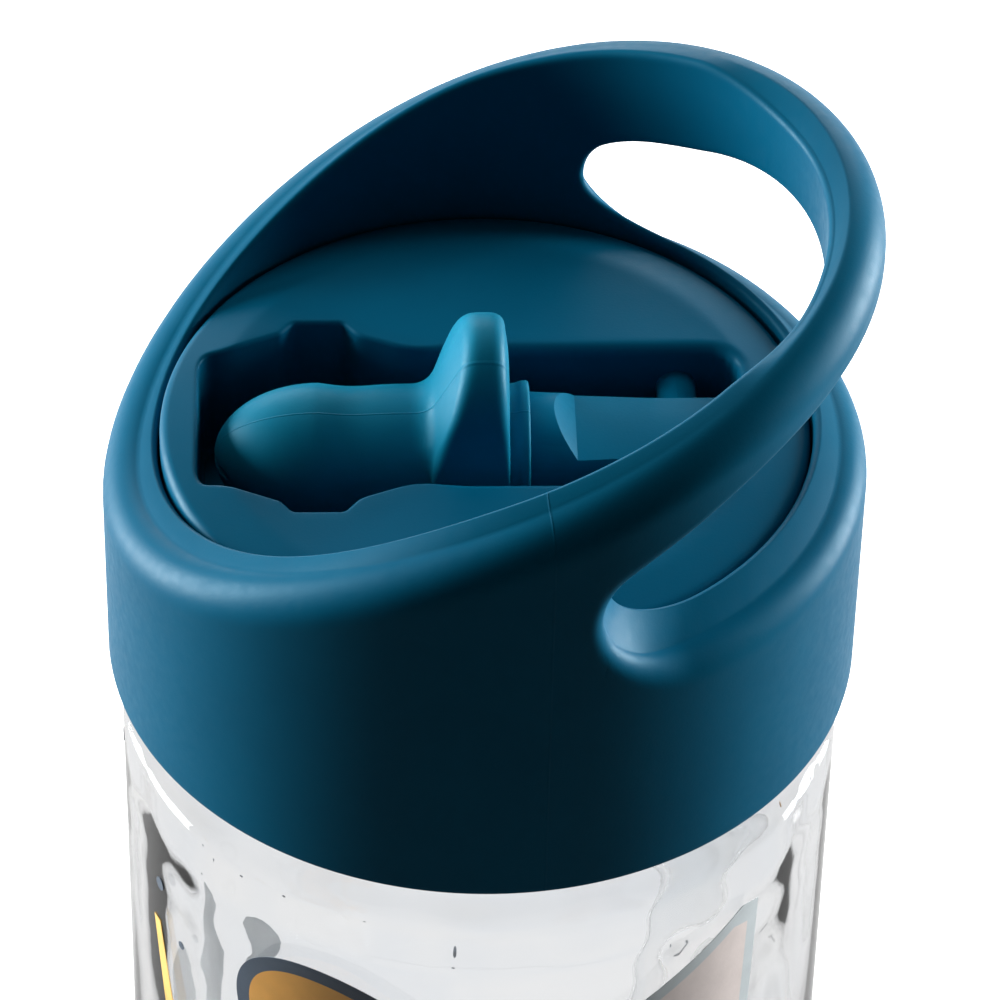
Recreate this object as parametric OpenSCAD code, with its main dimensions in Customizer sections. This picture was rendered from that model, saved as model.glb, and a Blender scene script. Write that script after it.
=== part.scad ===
// Clear drinking bottle with a screw-on lid. The lid carries a finger loop and a flip-up spout.
// Z runs up the bottle's axis from the face it stands on. The closed spout points along -X,
// and the finger loop rises at +X. Lid heights are measured up from the lid's lower edge.

/* [Bottle] */
// Height from the resting face to the lid's lower edge
body_h = 130; // [105:1:170]
// Outside diameter of the bottle
body_d = 72.6; // [71:0.2:73]
// Thickness of the clear wall
body_wall = 2.4; // [2:0.1:3]
// Outer rounding of the bottom edge
base_round = 5; // [4:0.5:7]
// Rise of the base's centre above the resting face
push_up = 2.5; // [1.5:0.5:4]
// Outside diameter of the threaded neck
neck_d = 62; // [61:0.2:62]
// Height of the threaded neck
neck_h = 10; // [10:0.5:12]

/* [Thread] */
// Rise of the lid for each turn
thread_pitch = 4; // [4:0.2:4.4]
// Turns of thread on the neck and in the lid
thread_turns = 1.25; // [1:0.25:1.25]
// Height of the thread above the wall it grows from
thread_depth = 1.4; // [1.2:0.1:1.4]

/* [Lid] */
// Outside diameter of the lid
lid_d = 75; // [74:0.5:78]
// Thickness of the ring wall above the deck
ring_wall = 5.5; // [5:0.25:6]
// Height of the ring at the spout's end
loop_low = 23.4; // [22:0.2:25]
// Height of the finger loop's crown
loop_high = 55.7; // [54.5:0.1:58]
// Radius of the long arc that shapes the ring's top edge
loop_arc_r = 215; // [190:5:260]
// Thickness of the web that closes the neck
web_t = 2; // [1.8:0.1:2.2]
// Thickness of the neck gasket
gasket_t = 1.4; // [1.2:0.1:1.6]

/* [Finger opening] */
// Distance from the axis to the opening's rounded end
eye_x = 9.6; // [9:0.2:12]
// Height of the shoulder under the opening, at its outer edge
eye_low = 25; // [24:0.2:26]
// Height of the strap's underside at the crown
strap_low = 50.9; // [50.4:0.1:51.2]

/* [Deck] */
// Height of the deck's top face
deck_top = 28.1; // [27.8:0.1:28.6]
// Width of the pocket that the spout folds into
pocket_w = 19.6; // [19.4:0.2:20.2]
// Length of the pocket from the axis towards the spout's tip
pocket_front = 28; // [27.8:0.1:28.3]
// Length of the pocket from the axis towards the hinge
pocket_back = 25.2; // [25.1:0.1:25.8]
// Width across the two finger notches
notch_w = 27.8; // [27.4:0.2:28.4]
// Thickness of the deck's top and walls
deck_wall = 1.8; // [1.5:0.1:2]

/* [Spout] */
// Distance from the axis to the hinge
hinge_x = 19.25; // [19:0.05:19.5]
// Height of the hinge
hinge_z = 23; // [22.8:0.1:23.2]
// Diameter of the hinge barrel
barrel_d = 10.8; // [10.6:0.1:11]
// Diameter of the arm where the bite valve's sleeve ends
arm_d = 12; // [11.6:0.1:12.2]
// Diameter of the trunnions
trunnion_d = 4; // [4:0.1:5.2]
// Diameter of the drinking passage
passage_d = 4.8; // [4:0.1:5.2]
// Largest diameter of the soft bite valve
bite_d = 13.9; // [13.4:0.1:14.2]
// Distance from the axis to the bite valve's tip
bite_tip = 26.5; // [26:0.1:27]
// Height of the thumb tab's top
tab_top = 38.8; // [38:0.1:39.4]

/* [Straw] */
// Outside diameter of the straw
straw_d = 8; // [7.6:0.1:8.4]
// Wall thickness of the straw
straw_wall = 1; // [0.8:0.1:1.2]
// Space left between the straw and the bottle's floor
straw_gap = 4; // [3:0.5:8]

/* [Hidden] */
$fn = 64;
teal = [0.0, 0.33, 0.45];
soft_teal = [0.03, 0.38, 0.5];
clear = [0.92, 0.95, 0.97, 0.35];
milky = [0.86, 0.88, 0.88];

body_r = body_d / 2;
body_in_r = body_r - body_wall;
neck_r = neck_d / 2;
neck_wall = 2.4;
neck_in_r = neck_r - neck_wall;
neck_top = body_h + neck_h;
shoulder_r = 4;          // outer rounding where the side turns in to the neck
shoulder_in_r = 7;       // inner rounding of the same turn
foot_in_r = body_r - base_round - 5;
foot_slope = 4;          // run of the slope from the foot ring up to the base's centre
floor_t = 2.8;
neck_step = 0.6;         // gap that shows between the shoulder and the lid
neck_chamfer = 0.5;
neck_root = 4;           // depth below the neck at which the inner rounding starts

fit_gap = 0.4;           // clearance between the neck's thread and the lid's
turn_gap = 0.25;         // clearance of parts that turn past each other
pin_gap = 0.06;          // radial clearance of the hinge trunnions
bite = 0.6;              // how far a thread runs into the wall it grows from
thread_base = 1.5;       // width of a thread where it leaves its wall
thread_crest = 0.7;
thread_steps = 20;       // straight stretches in one turn of thread
thread_low = 3.2;        // first turn's height above the lid's lower edge
thread_fade = 0.3;       // height of the thread at its two ends

lid_r = lid_d / 2;
ring_in_r = lid_r - ring_wall;
skirt_in_r = neck_r + thread_depth + fit_gap;
web_low = neck_top + gasket_t;
web_top = web_low + web_t;
lid_chamfer = 0.8;
rib_t = 1.2;
rib_out_r = neck_in_r - turn_gap - 0.1;
rib_in_r = rib_out_r - rib_t;
rib_h = 3;

eye_top_r = 6;           // rounding of the opening's upper end
eye_low_r = 9;           // rounding of the opening's lower end
eye_turn = 34;           // height at which the two roundings meet
lean = 38;               // how far past upright the upper rounding turns
strap_sag = 1.7;         // how far the strap's underside arches over its own chord
shoulder_rise = 2;       // how much higher the shoulder stands at the ring's inner wall

clear_by = 5;            // how far cutting shapes run past what they cut

deck_r = ring_in_r - turn_gap;
deck_band = 5.2;         // width of the deck's sloping outer band
deck_flat_r = deck_r - deck_band;
deck_slope = 0.8;        // how far the deck's outer band slopes down
deck_round = 0.9;        // rounding of the deck's outer edge
deck_z = body_h + deck_top;
pocket_half = pocket_w / 2;
pocket_floor = web_top + 1.7;
pocket_corner = 3.5;     // rounding of the pocket's corners beside the hinge
notch_front = 19.6;
notch_back = 12.9;
notch_slant = 0.6;       // how far a notch's sides lean
bulge = 2.5;             // how far the pocket widens towards its notches
bulge_front = 25.4;
bulge_back = 7.2;
nose_round = 2.6;
boss_d = 9;
trunnion_half = pocket_half + 3;
bearing_depth = 3.4;

pivot_z = body_h + hinge_z;
barrel_r = barrel_d / 2;
arm_r = arm_d / 2;
barrel_half = 4.4;
arm_end_r = barrel_r - 0.1;
sleeve_end = 4.3;        // where the soft sleeve's lip stops on the arm
ramp_top = 6.6;          // where the arm's flat top starts to cut in
ramp_foot = 8.9;
flat_h = 3.2;            // height of the flat top above the spout's axis
spigot_r = 4.4;
spigot_tip = -12;
bead_r = 4.9;
bead_x = -8;
bead_half = 0.8;
slip = 0.05;             // gap between the soft sleeve and the spigot
slit_w = 0.3;            // width and length of the bite valve's slit
slit_l = 6;
skin = 1.2;              // thickness of the bite valve's tip

bite_r = bite_d / 2;
bite_wide = -16.3;       // where the dome is widest
waist_x = -13.2;
waist_r = bite_r - 0.4;
sleeve_r = bite_r - 0.15;
lip_r = bite_r + 0.15;
dome_steps = 12;
tab_back = 2.3;          // the tab's upright face, towards the hinge
tab_back_foot = 1.2;
tab_foot = -5.3;         // where its sloped face reaches the spout's axis
tab_crown = -1.9;
tab_crown_h = 13;        // height above the axis at which the sloped face turns upright
tab_half = 7.2;

seal_r = 4;
seal_gap = 0.4;          // space between the seal and the barrel that it would press on
seal_top = pivot_z - barrel_r - seal_gap;
seal_foot_r = 5.6;
seal_foot_t = 0.9;
vent_x = -16;
vent_stem_r = 2.4;
vent_foot_r = 4.2;
vent_foot_t = 0.8;
vent_hole_r = 1;
lips_h = 6;
lips_half = 0.5;
stem_drop = 1.5;         // how far the valve's stem stands below the web

straw_r = straw_d / 2;
nipple_r = straw_r - straw_wall;
nipple_h = 12;
straw_top_gap = 1;       // space left between the straw's upper end and the web
port_r = nipple_r - 1;

// --- shared shapes ---------------------------------------------------------------------------

// Points along an arc about [cx, cy], from angle a0 to a1
function arc(cx, cy, r, a0, a1, n) =
    [for (i = [0:n]) [cx + r * cos(a0 + (a1 - a0) * i / n), cy + r * sin(a0 + (a1 - a0) * i / n)]];

// Centre of the circle of radius r that passes over both points, with its centre below them
function centre_below(p, q, r) =
    let (m = (p + q) / 2, d = q - p, c = norm(d), u = [d[1], -d[0]] / c)
    m + u * sqrt(r * r - c * c / 4);

// Radius of an arc with the given chord and rise
function arc_radius(chord, rise) = chord * chord / (8 * rise) + rise / 2;

// One turn of thread as a swept trapezoid. Points run along the helix in steps.
// root_r is the wall it grows from and out is +1 on a neck and -1 inside a lid.
module thread(root_r, out, low) {
    n = ceil(thread_steps * thread_turns);
    tip_r = root_r + out * thread_depth;
    deep_r = root_r - out * bite;
    rings = [for (i = [0:n])
        let (a = 360 * thread_turns * i / n,
             z = low + thread_pitch * thread_turns * i / n,
             tip = (i == 0 || i == n) ? root_r + out * thread_fade : tip_r)
        [[deep_r, z - thread_base / 2, a], [tip, z - thread_crest / 2, a],
         [tip, z + thread_crest / 2, a], [deep_r, z + thread_base / 2, a]]];
    pts = [for (ring = rings, p = ring) [p[0] * cos(p[2]), p[0] * sin(p[2]), p[1]]];
    side = [for (i = [0:n - 1], k = [0:3])
        let (a = 4 * i + k, b = 4 * i + (k + 1) % 4, c = b + 4, d = a + 4) each [[a, b, c], [a, c, d]]];
    ends = [[0, 3, 2], [0, 2, 1], [4 * n, 4 * n + 1, 4 * n + 2], [4 * n, 4 * n + 2, 4 * n + 3]];
    faces = concat(side, ends);
    polyhedron(points = pts, faces = out < 0 ? [for (f = faces) [f[2], f[1], f[0]]] : faces);
}

// A cylinder along Y, centred on the hinge
module on_hinge(r, h, steps = 64) {
    translate([hinge_x, 0, pivot_z]) rotate([90, 0, 0]) cylinder(r = r, h = h, center = true, $fn = steps);
}

// A cylinder along X at the spout's height, from x0 to x1
module along_spout(r, x0, x1) {
    translate([x0, 0, pivot_z]) rotate([0, 90, 0]) cylinder(r = r, h = x1 - x0);
}

// A side-view outline pushed out to both sides of the XZ plane
module across(half) {
    rotate([90, 0, 0]) translate([0, 0, -half]) linear_extrude(2 * half) children();
}

// --- bottle ----------------------------------------------------------------------------------

module bottle_wall() {
    outside = concat(
        [[0, push_up], [foot_in_r - foot_slope, push_up], [foot_in_r, 0]],
        arc(body_r - base_round, base_round, base_round, -90, 0, 6),
        arc(body_r - shoulder_r, body_h - neck_step - shoulder_r, shoulder_r, 0, 90, 6),
        [[neck_r, body_h - neck_step], [neck_r, neck_top - neck_chamfer], [neck_r - neck_chamfer, neck_top]]);
    inside = concat(
        [[neck_in_r, neck_top], [neck_in_r, body_h - neck_root / 2]],
        arc(body_in_r - shoulder_in_r, body_h - neck_root - shoulder_in_r, shoulder_in_r, 70, 0, 5),
        arc(body_in_r - base_round, base_round + floor_t, base_round, 0, -90, 5),
        [[foot_in_r - foot_slope, push_up + floor_t], [0, push_up + floor_t]]);
    rotate_extrude($fn = 96) polygon(concat(outside, inside));
}

module bottle_body() {
    color(clear) {
        bottle_wall();
        thread(neck_r, 1, body_h + thread_low);
    }
}

// --- lid -------------------------------------------------------------------------------------

// Everything under the long arc that shapes the top of the ring
module under_loop_arc() {
    c = centre_below([-lid_r, loop_low], [lid_r, loop_high], loop_arc_r);
    translate([c[0], 0, body_h + c[1]]) rotate([90, 0, 0])
        cylinder(r = loop_arc_r, h = 2 * lid_d, center = true, $fn = 360);
}

// Side view of the opening: a rounded end, a flat floor and the strap's arched underside
module eye_outline() {
    end = lid_r + clear_by;
    start = [eye_x + eye_top_r - eye_top_r * sin(lean), eye_turn + eye_top_r * cos(lean)];
    crown = [lid_r, strap_low];
    r = arc_radius(norm(crown - start), strap_sag);
    c = centre_below(start, crown, r);
    a0 = atan2(start[1] - c[1], start[0] - c[0]);
    a1 = atan2(crown[1] - c[1], crown[0] - c[0]);
    polygon(concat(
        arc(eye_x + eye_low_r, eye_turn, eye_low_r, 270, 180, 8),
        arc(eye_x + eye_top_r, eye_turn, eye_top_r, 180, 90 + lean, 5),
        arc(c[0], c[1], r, a0, a1, 10),
        [[end, crown[1] + 0.6], [end, eye_low - 3], [eye_x + eye_low_r, eye_low - 3]]));
}

// The ring-shaped space above the sloping shoulder
module above_shoulder() {
    far = lid_r + clear_by;
    rotate_extrude($fn = 96) polygon([
        [ring_in_r - 1, eye_low + shoulder_rise], [ring_in_r + 1, eye_low + shoulder_rise],
        [lid_r - 1, eye_low], [far, eye_low - 0.6], [far, loop_high + clear_by],
        [ring_in_r - 1, loop_high + clear_by]]);
}

module finger_opening() {
    translate([0, 0, body_h]) intersection() {
        across(lid_r + 2) eye_outline();
        above_shoulder();
    }
}

module lid_cap() {
    color(teal) difference() {
        union() {
            difference() {
                intersection() {
                    rotate_extrude($fn = 96) polygon([
                        [skirt_in_r, body_h], [lid_r - lid_chamfer, body_h], [lid_r, body_h + lid_chamfer],
                        [lid_r, body_h + loop_high + clear_by], [ring_in_r, body_h + loop_high + clear_by],
                        [ring_in_r, web_top], [0, web_top], [0, web_low], [skirt_in_r, web_low]]);
                    under_loop_arc();
                }
                finger_opening();
            }
            thread(skirt_in_r, -1, body_h + thread_low - thread_pitch / 2);
            translate([0, 0, web_low - rib_h]) difference() {
                cylinder(r = rib_out_r, h = rib_h + 0.5, $fn = 96);
                translate([0, 0, -1]) cylinder(r = rib_in_r, h = rib_h + 2, $fn = 96);
            }
            translate([hinge_x, 0, web_low - nipple_h]) cylinder(r = nipple_r, h = nipple_h + 0.5);
        }
        translate([hinge_x, 0, web_low - nipple_h - 1]) cylinder(r = port_r, h = nipple_h + web_t + 2);
        translate([vent_x, 0, web_low - 1]) cylinder(r = vent_stem_r, h = web_t + 2);
    }
}

module lid_gasket() {
    color(milky) translate([0, 0, neck_top]) difference() {
        cylinder(r = skirt_in_r - fit_gap, h = gasket_t, $fn = 96);
        translate([0, 0, -1]) cylinder(r = neck_in_r + 0.2, h = gasket_t + 2, $fn = 96);
    }
}

// Plan of the pocket, with every wall moved out by grow
module pocket_plan(grow = 0) {
    half = pocket_half + grow;
    wide = half + bulge;
    notch = notch_w / 2 + grow;
    top = [
        each arc(pocket_back - pocket_corner, pocket_half - pocket_corner, pocket_corner + grow, 0, 90, 4),
        [-bulge_back, half], [-notch_back + notch_slant + grow, wide - 0.5],
        [-notch_back + grow, wide], [-notch_back - notch_slant + grow, notch],
        [-notch_front + notch_slant - grow, notch], [-notch_front - grow, wide],
        [-notch_front - notch_slant - grow, wide - 0.4], [-bulge_front, half],
        each arc(nose_round - pocket_front, pocket_half - nose_round - 0.4, nose_round + grow, 90, 180, 4)];
    bottom = [for (i = [len(top) - 1:-1:0]) [top[i][0], -top[i][1]]];
    polygon(concat(top, bottom));
}

// The deck is a shell: a crowned top, an outer skirt, the pocket's walls and floor, two bosses
module lid_deck() {
    low = web_top;
    edge_z = deck_z - deck_slope;
    ceiling = edge_z - deck_wall;
    color(teal) difference() {
        rotate_extrude($fn = 96) polygon(concat(
            [[0, low], [deck_r, low]],
            arc(deck_r - deck_round, edge_z - deck_round, deck_round, 0, 80, 4),
            [[deck_flat_r, deck_z], [0, deck_z]]));
        difference() {
            translate([0, 0, low - 1]) cylinder(r = deck_r - deck_wall, h = ceiling - low + 1, $fn = 96);
            translate([0, 0, low - 2]) linear_extrude(deck_top + 4) pocket_plan(deck_wall);
            intersection() {
                on_hinge(boss_d / 2, 2 * (pocket_half + deck_wall + 4));
                translate([0, 0, low]) cylinder(r = deck_r - 1, h = deck_top);
            }
        }
        translate([0, 0, pocket_floor]) linear_extrude(deck_top) pocket_plan();
        on_hinge(trunnion_d / 2 + pin_gap, 2 * (pocket_half + bearing_depth));
        translate([hinge_x, 0, low - 1]) cylinder(r = seal_r + 0.1, h = 4);
        translate([hinge_x, 0, low - 1]) cylinder(r = seal_foot_r + 0.1, h = 1 + seal_foot_t + 0.1);
        translate([vent_x, 0, low - 1]) cylinder(r = vent_hole_r, h = 4);
        translate([vent_x, 0, low - 1]) cylinder(r = vent_foot_r + 0.1, h = 1 + vent_foot_t + 0.1);
    }
}

// Soft plug between the web's port and the hinge barrel
module pivot_seal() {
    color(milky) difference() {
        union() {
            translate([hinge_x, 0, web_top]) cylinder(r = seal_foot_r, h = seal_foot_t);
            translate([hinge_x, 0, web_top]) cylinder(r = seal_r, h = seal_top - web_top);
        }
        translate([hinge_x, 0, web_top - 1]) cylinder(r = port_r, h = 8);
    }
}

// One-way air valve: a flange on the web and two flat lips that meet below it
module vent_valve() {
    stem_low = web_low - stem_drop;
    color(milky) difference() {
        union() {
            translate([vent_x, 0, web_top]) cylinder(r = vent_foot_r, h = vent_foot_t);
            translate([vent_x, 0, stem_low]) cylinder(r = vent_stem_r, h = web_top - stem_low + 0.2);
            translate([vent_x, 0, stem_low]) intersection() {
                across(vent_stem_r) polygon([
                    [-vent_stem_r, 0.1], [vent_stem_r, 0.1], [lips_half, -lips_h], [-lips_half, -lips_h]]);
                translate([0, 0, -lips_h]) cylinder(r = vent_stem_r, h = lips_h + 0.1);
            }
        }
        translate([vent_x, 0, stem_low - 1]) cylinder(r = vent_hole_r, h = 10);
        translate([vent_x, 0, stem_low]) cube([slit_w, 2 * vent_hole_r, 2 * lips_h + 1], center = true);
    }
}

module straw() {
    low = push_up + floor_t + straw_gap;
    color(clear) translate([hinge_x, 0, low]) difference() {
        cylinder(r = straw_r, h = web_low - low - straw_top_gap);
        translate([0, 0, -1]) cylinder(r = nipple_r + 0.02, h = web_low - low + 1);
    }
}

// --- spout -----------------------------------------------------------------------------------

// Tapered arm that ends in the hinge barrel, with a flat top that a short ramp leads down to
module arm_and_barrel() {
    start = sleeve_end + slip;
    far = hinge_x + barrel_r + 1;
    intersection() {
        union() {
            translate([start, 0, pivot_z]) rotate([0, 90, 0])
                cylinder(r1 = arm_r, r2 = arm_end_r, h = hinge_x - start);
            on_hinge(barrel_r, 2 * barrel_half);
        }
        translate([0, 0, pivot_z]) across(arm_r + 1) polygon([
            [start, -arm_r - 1], [far, -arm_r - 1], [far, flat_h], [ramp_foot, flat_h],
            [ramp_top, arm_r], [ramp_top, arm_r + 1], [start, arm_r + 1]]);
    }
}

module spout_arm() {
    color(teal) difference() {
        union() {
            arm_and_barrel();
            on_hinge(trunnion_d / 2, 2 * trunnion_half);
            along_spout(spigot_r, spigot_tip, ramp_top);
            along_spout(bead_r, bead_x - bead_half, bead_x + bead_half);
        }
        along_spout(passage_d / 2, spigot_tip - 1, hinge_x + barrel_r + 1);
    }
}

// Half profile of the soft sleeve: radius against distance along the spout
module bite_profile() {
    dome = [for (i = [0:dome_steps])
        let (a = 90 * i / dome_steps)
        [bite_r * sin(a), bite_wide - (bite_tip + bite_wide) * cos(a)]];
    side = [[waist_r + 0.25, waist_x - 1.2], [waist_r, waist_x], [waist_r + 0.1, waist_x + 1.2],
            [sleeve_r, -7], [sleeve_r, sleeve_end - 1.5], [lip_r, sleeve_end - 1.2],
            [lip_r, sleeve_end - 0.3], [lip_r - 0.3, sleeve_end]];
    hollow = [[spigot_r + slip, sleeve_end], [spigot_r + slip, bead_x + bead_half + slip],
              [bead_r + slip, bead_x + bead_half + slip], [bead_r + slip, bead_x - bead_half - slip],
              [spigot_r + slip, bead_x - bead_half - slip], [spigot_r + slip, spigot_tip - slip],
              [passage_d / 2, spigot_tip - slip], [passage_d / 2, bite_wide - 4],
              [0, skin - bite_tip]];
    polygon(concat(dome, side, hollow));
}

module thumb_tab() {
    top = tab_top - hinge_z;
    translate([0, 0, pivot_z]) intersection() {
        across(tab_half + 1) polygon([
            [tab_back_foot, 0], [tab_back, tab_crown_h], [tab_back, top - 0.9], [tab_back - 1, top],
            [tab_crown + 1, top], [tab_crown, tab_crown_h], [tab_foot, 0]]);
        rotate([90, 0, 90]) translate([0, 0, tab_foot - 1]) linear_extrude(tab_back - tab_foot + 2)
            polygon(concat([[-tab_half, 0], [tab_half, 0]], arc(0, top - tab_half, tab_half, 0, 180, 20)));
    }
}

module mouthpiece() {
    color(soft_teal) difference() {
        union() {
            translate([0, 0, pivot_z]) rotate([0, 90, 0]) rotate_extrude() bite_profile();
            difference() {
                thumb_tab();
                along_spout(bite_r - 1, tab_foot - 2, tab_back + 2);
            }
        }
        translate([-bite_tip, 0, pivot_z]) cube([slit_l, slit_l, slit_w], center = true);
    }
}

bottle_body();
lid_gasket();
lid_cap();
lid_deck();
pivot_seal();
vent_valve();
straw();
spout_arm();
mouthpiece();
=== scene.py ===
"""Clear rigid drinking bottle with a teal screw lid, finger loop and flip-up straw spout.

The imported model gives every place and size. This script rebuilds the moulded pieces with their soft
edges, dresses every piece, and sets up a plain pale studio.
"""

import logging
import math
from dataclasses import dataclass, field
from enum import Enum

import bmesh
import bpy
import numpy as np
from mathutils import Matrix, Vector


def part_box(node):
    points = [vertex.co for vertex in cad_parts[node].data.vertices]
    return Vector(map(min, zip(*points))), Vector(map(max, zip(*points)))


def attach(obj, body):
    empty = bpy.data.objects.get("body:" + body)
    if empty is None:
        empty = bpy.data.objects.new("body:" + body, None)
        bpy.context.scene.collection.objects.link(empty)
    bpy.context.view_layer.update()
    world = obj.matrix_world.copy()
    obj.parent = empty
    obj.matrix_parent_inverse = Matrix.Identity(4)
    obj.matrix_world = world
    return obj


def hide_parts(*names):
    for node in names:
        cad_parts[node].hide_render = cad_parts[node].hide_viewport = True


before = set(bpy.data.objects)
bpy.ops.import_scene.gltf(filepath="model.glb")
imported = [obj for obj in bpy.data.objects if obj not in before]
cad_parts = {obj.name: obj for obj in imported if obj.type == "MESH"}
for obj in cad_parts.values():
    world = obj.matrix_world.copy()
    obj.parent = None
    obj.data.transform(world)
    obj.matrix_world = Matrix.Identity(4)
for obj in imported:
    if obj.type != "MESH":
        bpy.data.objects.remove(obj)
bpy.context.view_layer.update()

log = logging.getLogger("bottle")
MM = 0.001


# --- shared geometry -------------------------------------------------------------------------


def smoothstep(t: np.ndarray | float) -> np.ndarray | float:
    """Ease from 0 to 1 with level ends.

    Args:
        t: The share of the way, held between 0 and 1.

    Returns:
        The eased share.
    """
    t = np.clip(t, 0.0, 1.0)
    return t * t * (3 - 2 * t)


def centre_below(p: np.ndarray, q: np.ndarray, radius: float) -> np.ndarray:
    """Centre of the circle of that radius that arches over both points.

    Args:
        p: The arc's left end.
        q: The arc's right end.
        radius: The arc's radius.

    Returns:
        The circle's centre, on the lower side of the chord.
    """
    along = q - p
    chord = float(np.hypot(*along))
    normal = np.array([along[1], -along[0]]) / chord
    return (p + q) / 2 + normal * math.sqrt(radius * radius - chord * chord / 4)


def rounded_path(points: list[tuple[float, float]], radii: list[float], steps: int = 6) -> np.ndarray:
    """A polyline whose corners are eased by short curves.

    Each corner is cut back by its radius, or by less where its sides are short, and bridged by a
    quadratic curve, so the number of points never changes with the shape.

    Args:
        points: The corner points, ends included.
        radii: One cut-back length for each point. The ends' values are not used.
        steps: Number of stretches in each corner's curve.

    Returns:
        The eased path as an array of 2-D points.
    """
    pts = np.array(points, float)
    out = [pts[0]]
    for i in range(1, len(pts) - 1):
        back, ahead = pts[i - 1] - pts[i], pts[i + 1] - pts[i]
        room_back, room_ahead = np.hypot(*back), np.hypot(*ahead)
        cut_back = min(radii[i], 0.48 * room_back)
        cut_ahead = min(radii[i], 0.48 * room_ahead)
        a = pts[i] + back / max(room_back, 1e-9) * cut_back
        b = pts[i] + ahead / max(room_ahead, 1e-9) * cut_ahead
        for k in range(steps + 1):
            t = k / steps
            out.append((1 - t) ** 2 * a + 2 * t * (1 - t) * pts[i] + t * t * b)
    out.append(pts[-1])
    return np.array(out)


def dense_path(path: np.ndarray, spacing: float) -> np.ndarray:
    """The same path with points added so that no stretch is longer than spacing.

    Args:
        path: The path as an array of 2-D points.
        spacing: The longest stretch allowed.

    Returns:
        The denser path.
    """
    out = [path[0]]
    for a, b in zip(path[:-1], path[1:]):
        n = max(1, math.ceil(float(np.hypot(*(b - a))) / spacing))
        out.extend(a + (b - a) * (k / n) for k in range(1, n + 1))
    return np.array(out)


def spun(path: np.ndarray, angle: np.ndarray, base: float = 0.0,
         centre: tuple[float, float] = (0, 0)) -> np.ndarray:
    """Turn a path of radius and height about a vertical axis.

    Args:
        path: Radius and height pairs.
        angle: The angle of each column, in radians.
        base: Height added to the whole path.
        centre: The axis's place in X and Y.

    Returns:
        Points as (row, column, xyz).
    """
    r, z = path[:, :1], base + path[:, 1:]
    return np.stack([centre[0] + r * np.cos(angle), centre[1] + r * np.sin(angle),
                     np.broadcast_to(z, (len(path), len(angle)))], axis=-1)


@dataclass
class Shell:
    """Vertices and faces gathered for one piece, in millimetres."""

    verts: list = field(default_factory=list)
    faces: list = field(default_factory=list)

    def row_grid(self, rows: np.ndarray, wrap: bool = True) -> np.ndarray:
        """Add a grid of quads.

        Args:
            rows: Points as (row, column, xyz).
            wrap: Whether the last column joins the first.

        Returns:
            The grid's vertex numbers as (row, column).
        """
        n_rows, n_cols = rows.shape[:2]
        base = len(self.verts)
        self.verts.extend(map(tuple, rows.reshape(-1, 3)))
        index = base + np.arange(n_rows * n_cols).reshape(n_rows, n_cols)
        self.bridge_all(index, wrap)
        return index

    def bridge_all(self, index: np.ndarray, wrap: bool) -> None:
        """Join each row of an index grid to the next with quads.

        Args:
            index: The grid's vertex numbers as (row, column).
            wrap: Whether the last column joins the first.
        """
        for low, high in zip(index[:-1], index[1:]):
            self.bridge(low, high, wrap)

    def bridge(self, low: np.ndarray, high: np.ndarray, wrap: bool = True) -> None:
        """Join two rows of the same length with quads.

        Args:
            low: Vertex numbers of the first row.
            high: Vertex numbers of the second row.
            wrap: Whether the last column joins the first.
        """
        n = len(low)
        for i in range(n if wrap else n - 1):
            j = (i + 1) % n
            self.faces.append((int(low[i]), int(low[j]), int(high[j]), int(high[i])))

    def close(self, row: np.ndarray, point: tuple[float, float, float]) -> None:
        """Close a ring of vertices with a fan about one point.

        Args:
            row: Vertex numbers of the ring.
            point: The fan's middle.
        """
        pole = len(self.verts)
        self.verts.append(tuple(point))
        n = len(row)
        self.faces.extend((int(row[i]), int(row[(i + 1) % n]), pole) for i in range(n))

    def finish_with(self, index: np.ndarray, rows: np.ndarray, point: tuple[float, float, float]) -> None:
        """Carry on from a row of vertices through a grid of rows, and close it on one point.

        Args:
            index: Vertex numbers of the row to start from.
            rows: The further rows as (row, column, xyz).
            point: The point that the last row closes on.
        """
        grid = self.row_grid(rows)
        self.bridge(index, grid[0])
        self.close(grid[-1], point)

    def build(self, name: str, sharp: float | None = None) -> bpy.types.Object:
        """Make the object.

        Args:
            name: The object's name.
            sharp: Angle in degrees past which an edge stays crisp, or None for none.

        Returns:
            The new object, at the origin, in metres, with its faces outward.
        """
        mesh = bpy.data.meshes.new(name)
        mesh.from_pydata([tuple(c * MM for c in v) for v in self.verts], [], self.faces)
        bm = bmesh.new()
        bm.from_mesh(mesh)
        bmesh.ops.remove_doubles(bm, verts=bm.verts, dist=1e-7)
        bmesh.ops.dissolve_degenerate(bm, dist=1e-8, edges=bm.edges)
        bmesh.ops.recalc_face_normals(bm, faces=bm.faces)
        bm.to_mesh(mesh)
        bm.free()
        mesh.shade_smooth()
        if sharp is not None:
            mesh.set_sharp_from_angle(angle=math.radians(sharp))
        obj = bpy.data.objects.new(name, mesh)
        bpy.context.scene.collection.objects.link(obj)
        return obj


def turned(name: str, profile: np.ndarray, segments: int = 128, centre: tuple[float, float] = (0, 0),
           sharp: float | None = 40) -> bpy.types.Object:
    """A solid of revolution about a vertical axis.

    Args:
        name: The object's name.
        profile: Radius and height pairs. A closed tube's profile ends where it starts.
        segments: Number of stretches round the axis.
        centre: The axis's place in X and Y.
        sharp: Angle in degrees past which an edge stays crisp.

    Returns:
        The new object.
    """
    angle = np.linspace(0, 2 * math.pi, segments, endpoint=False)
    shell = Shell()
    shell.row_grid(spun(profile, angle, centre=centre))
    return shell.build(name, sharp)


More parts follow.
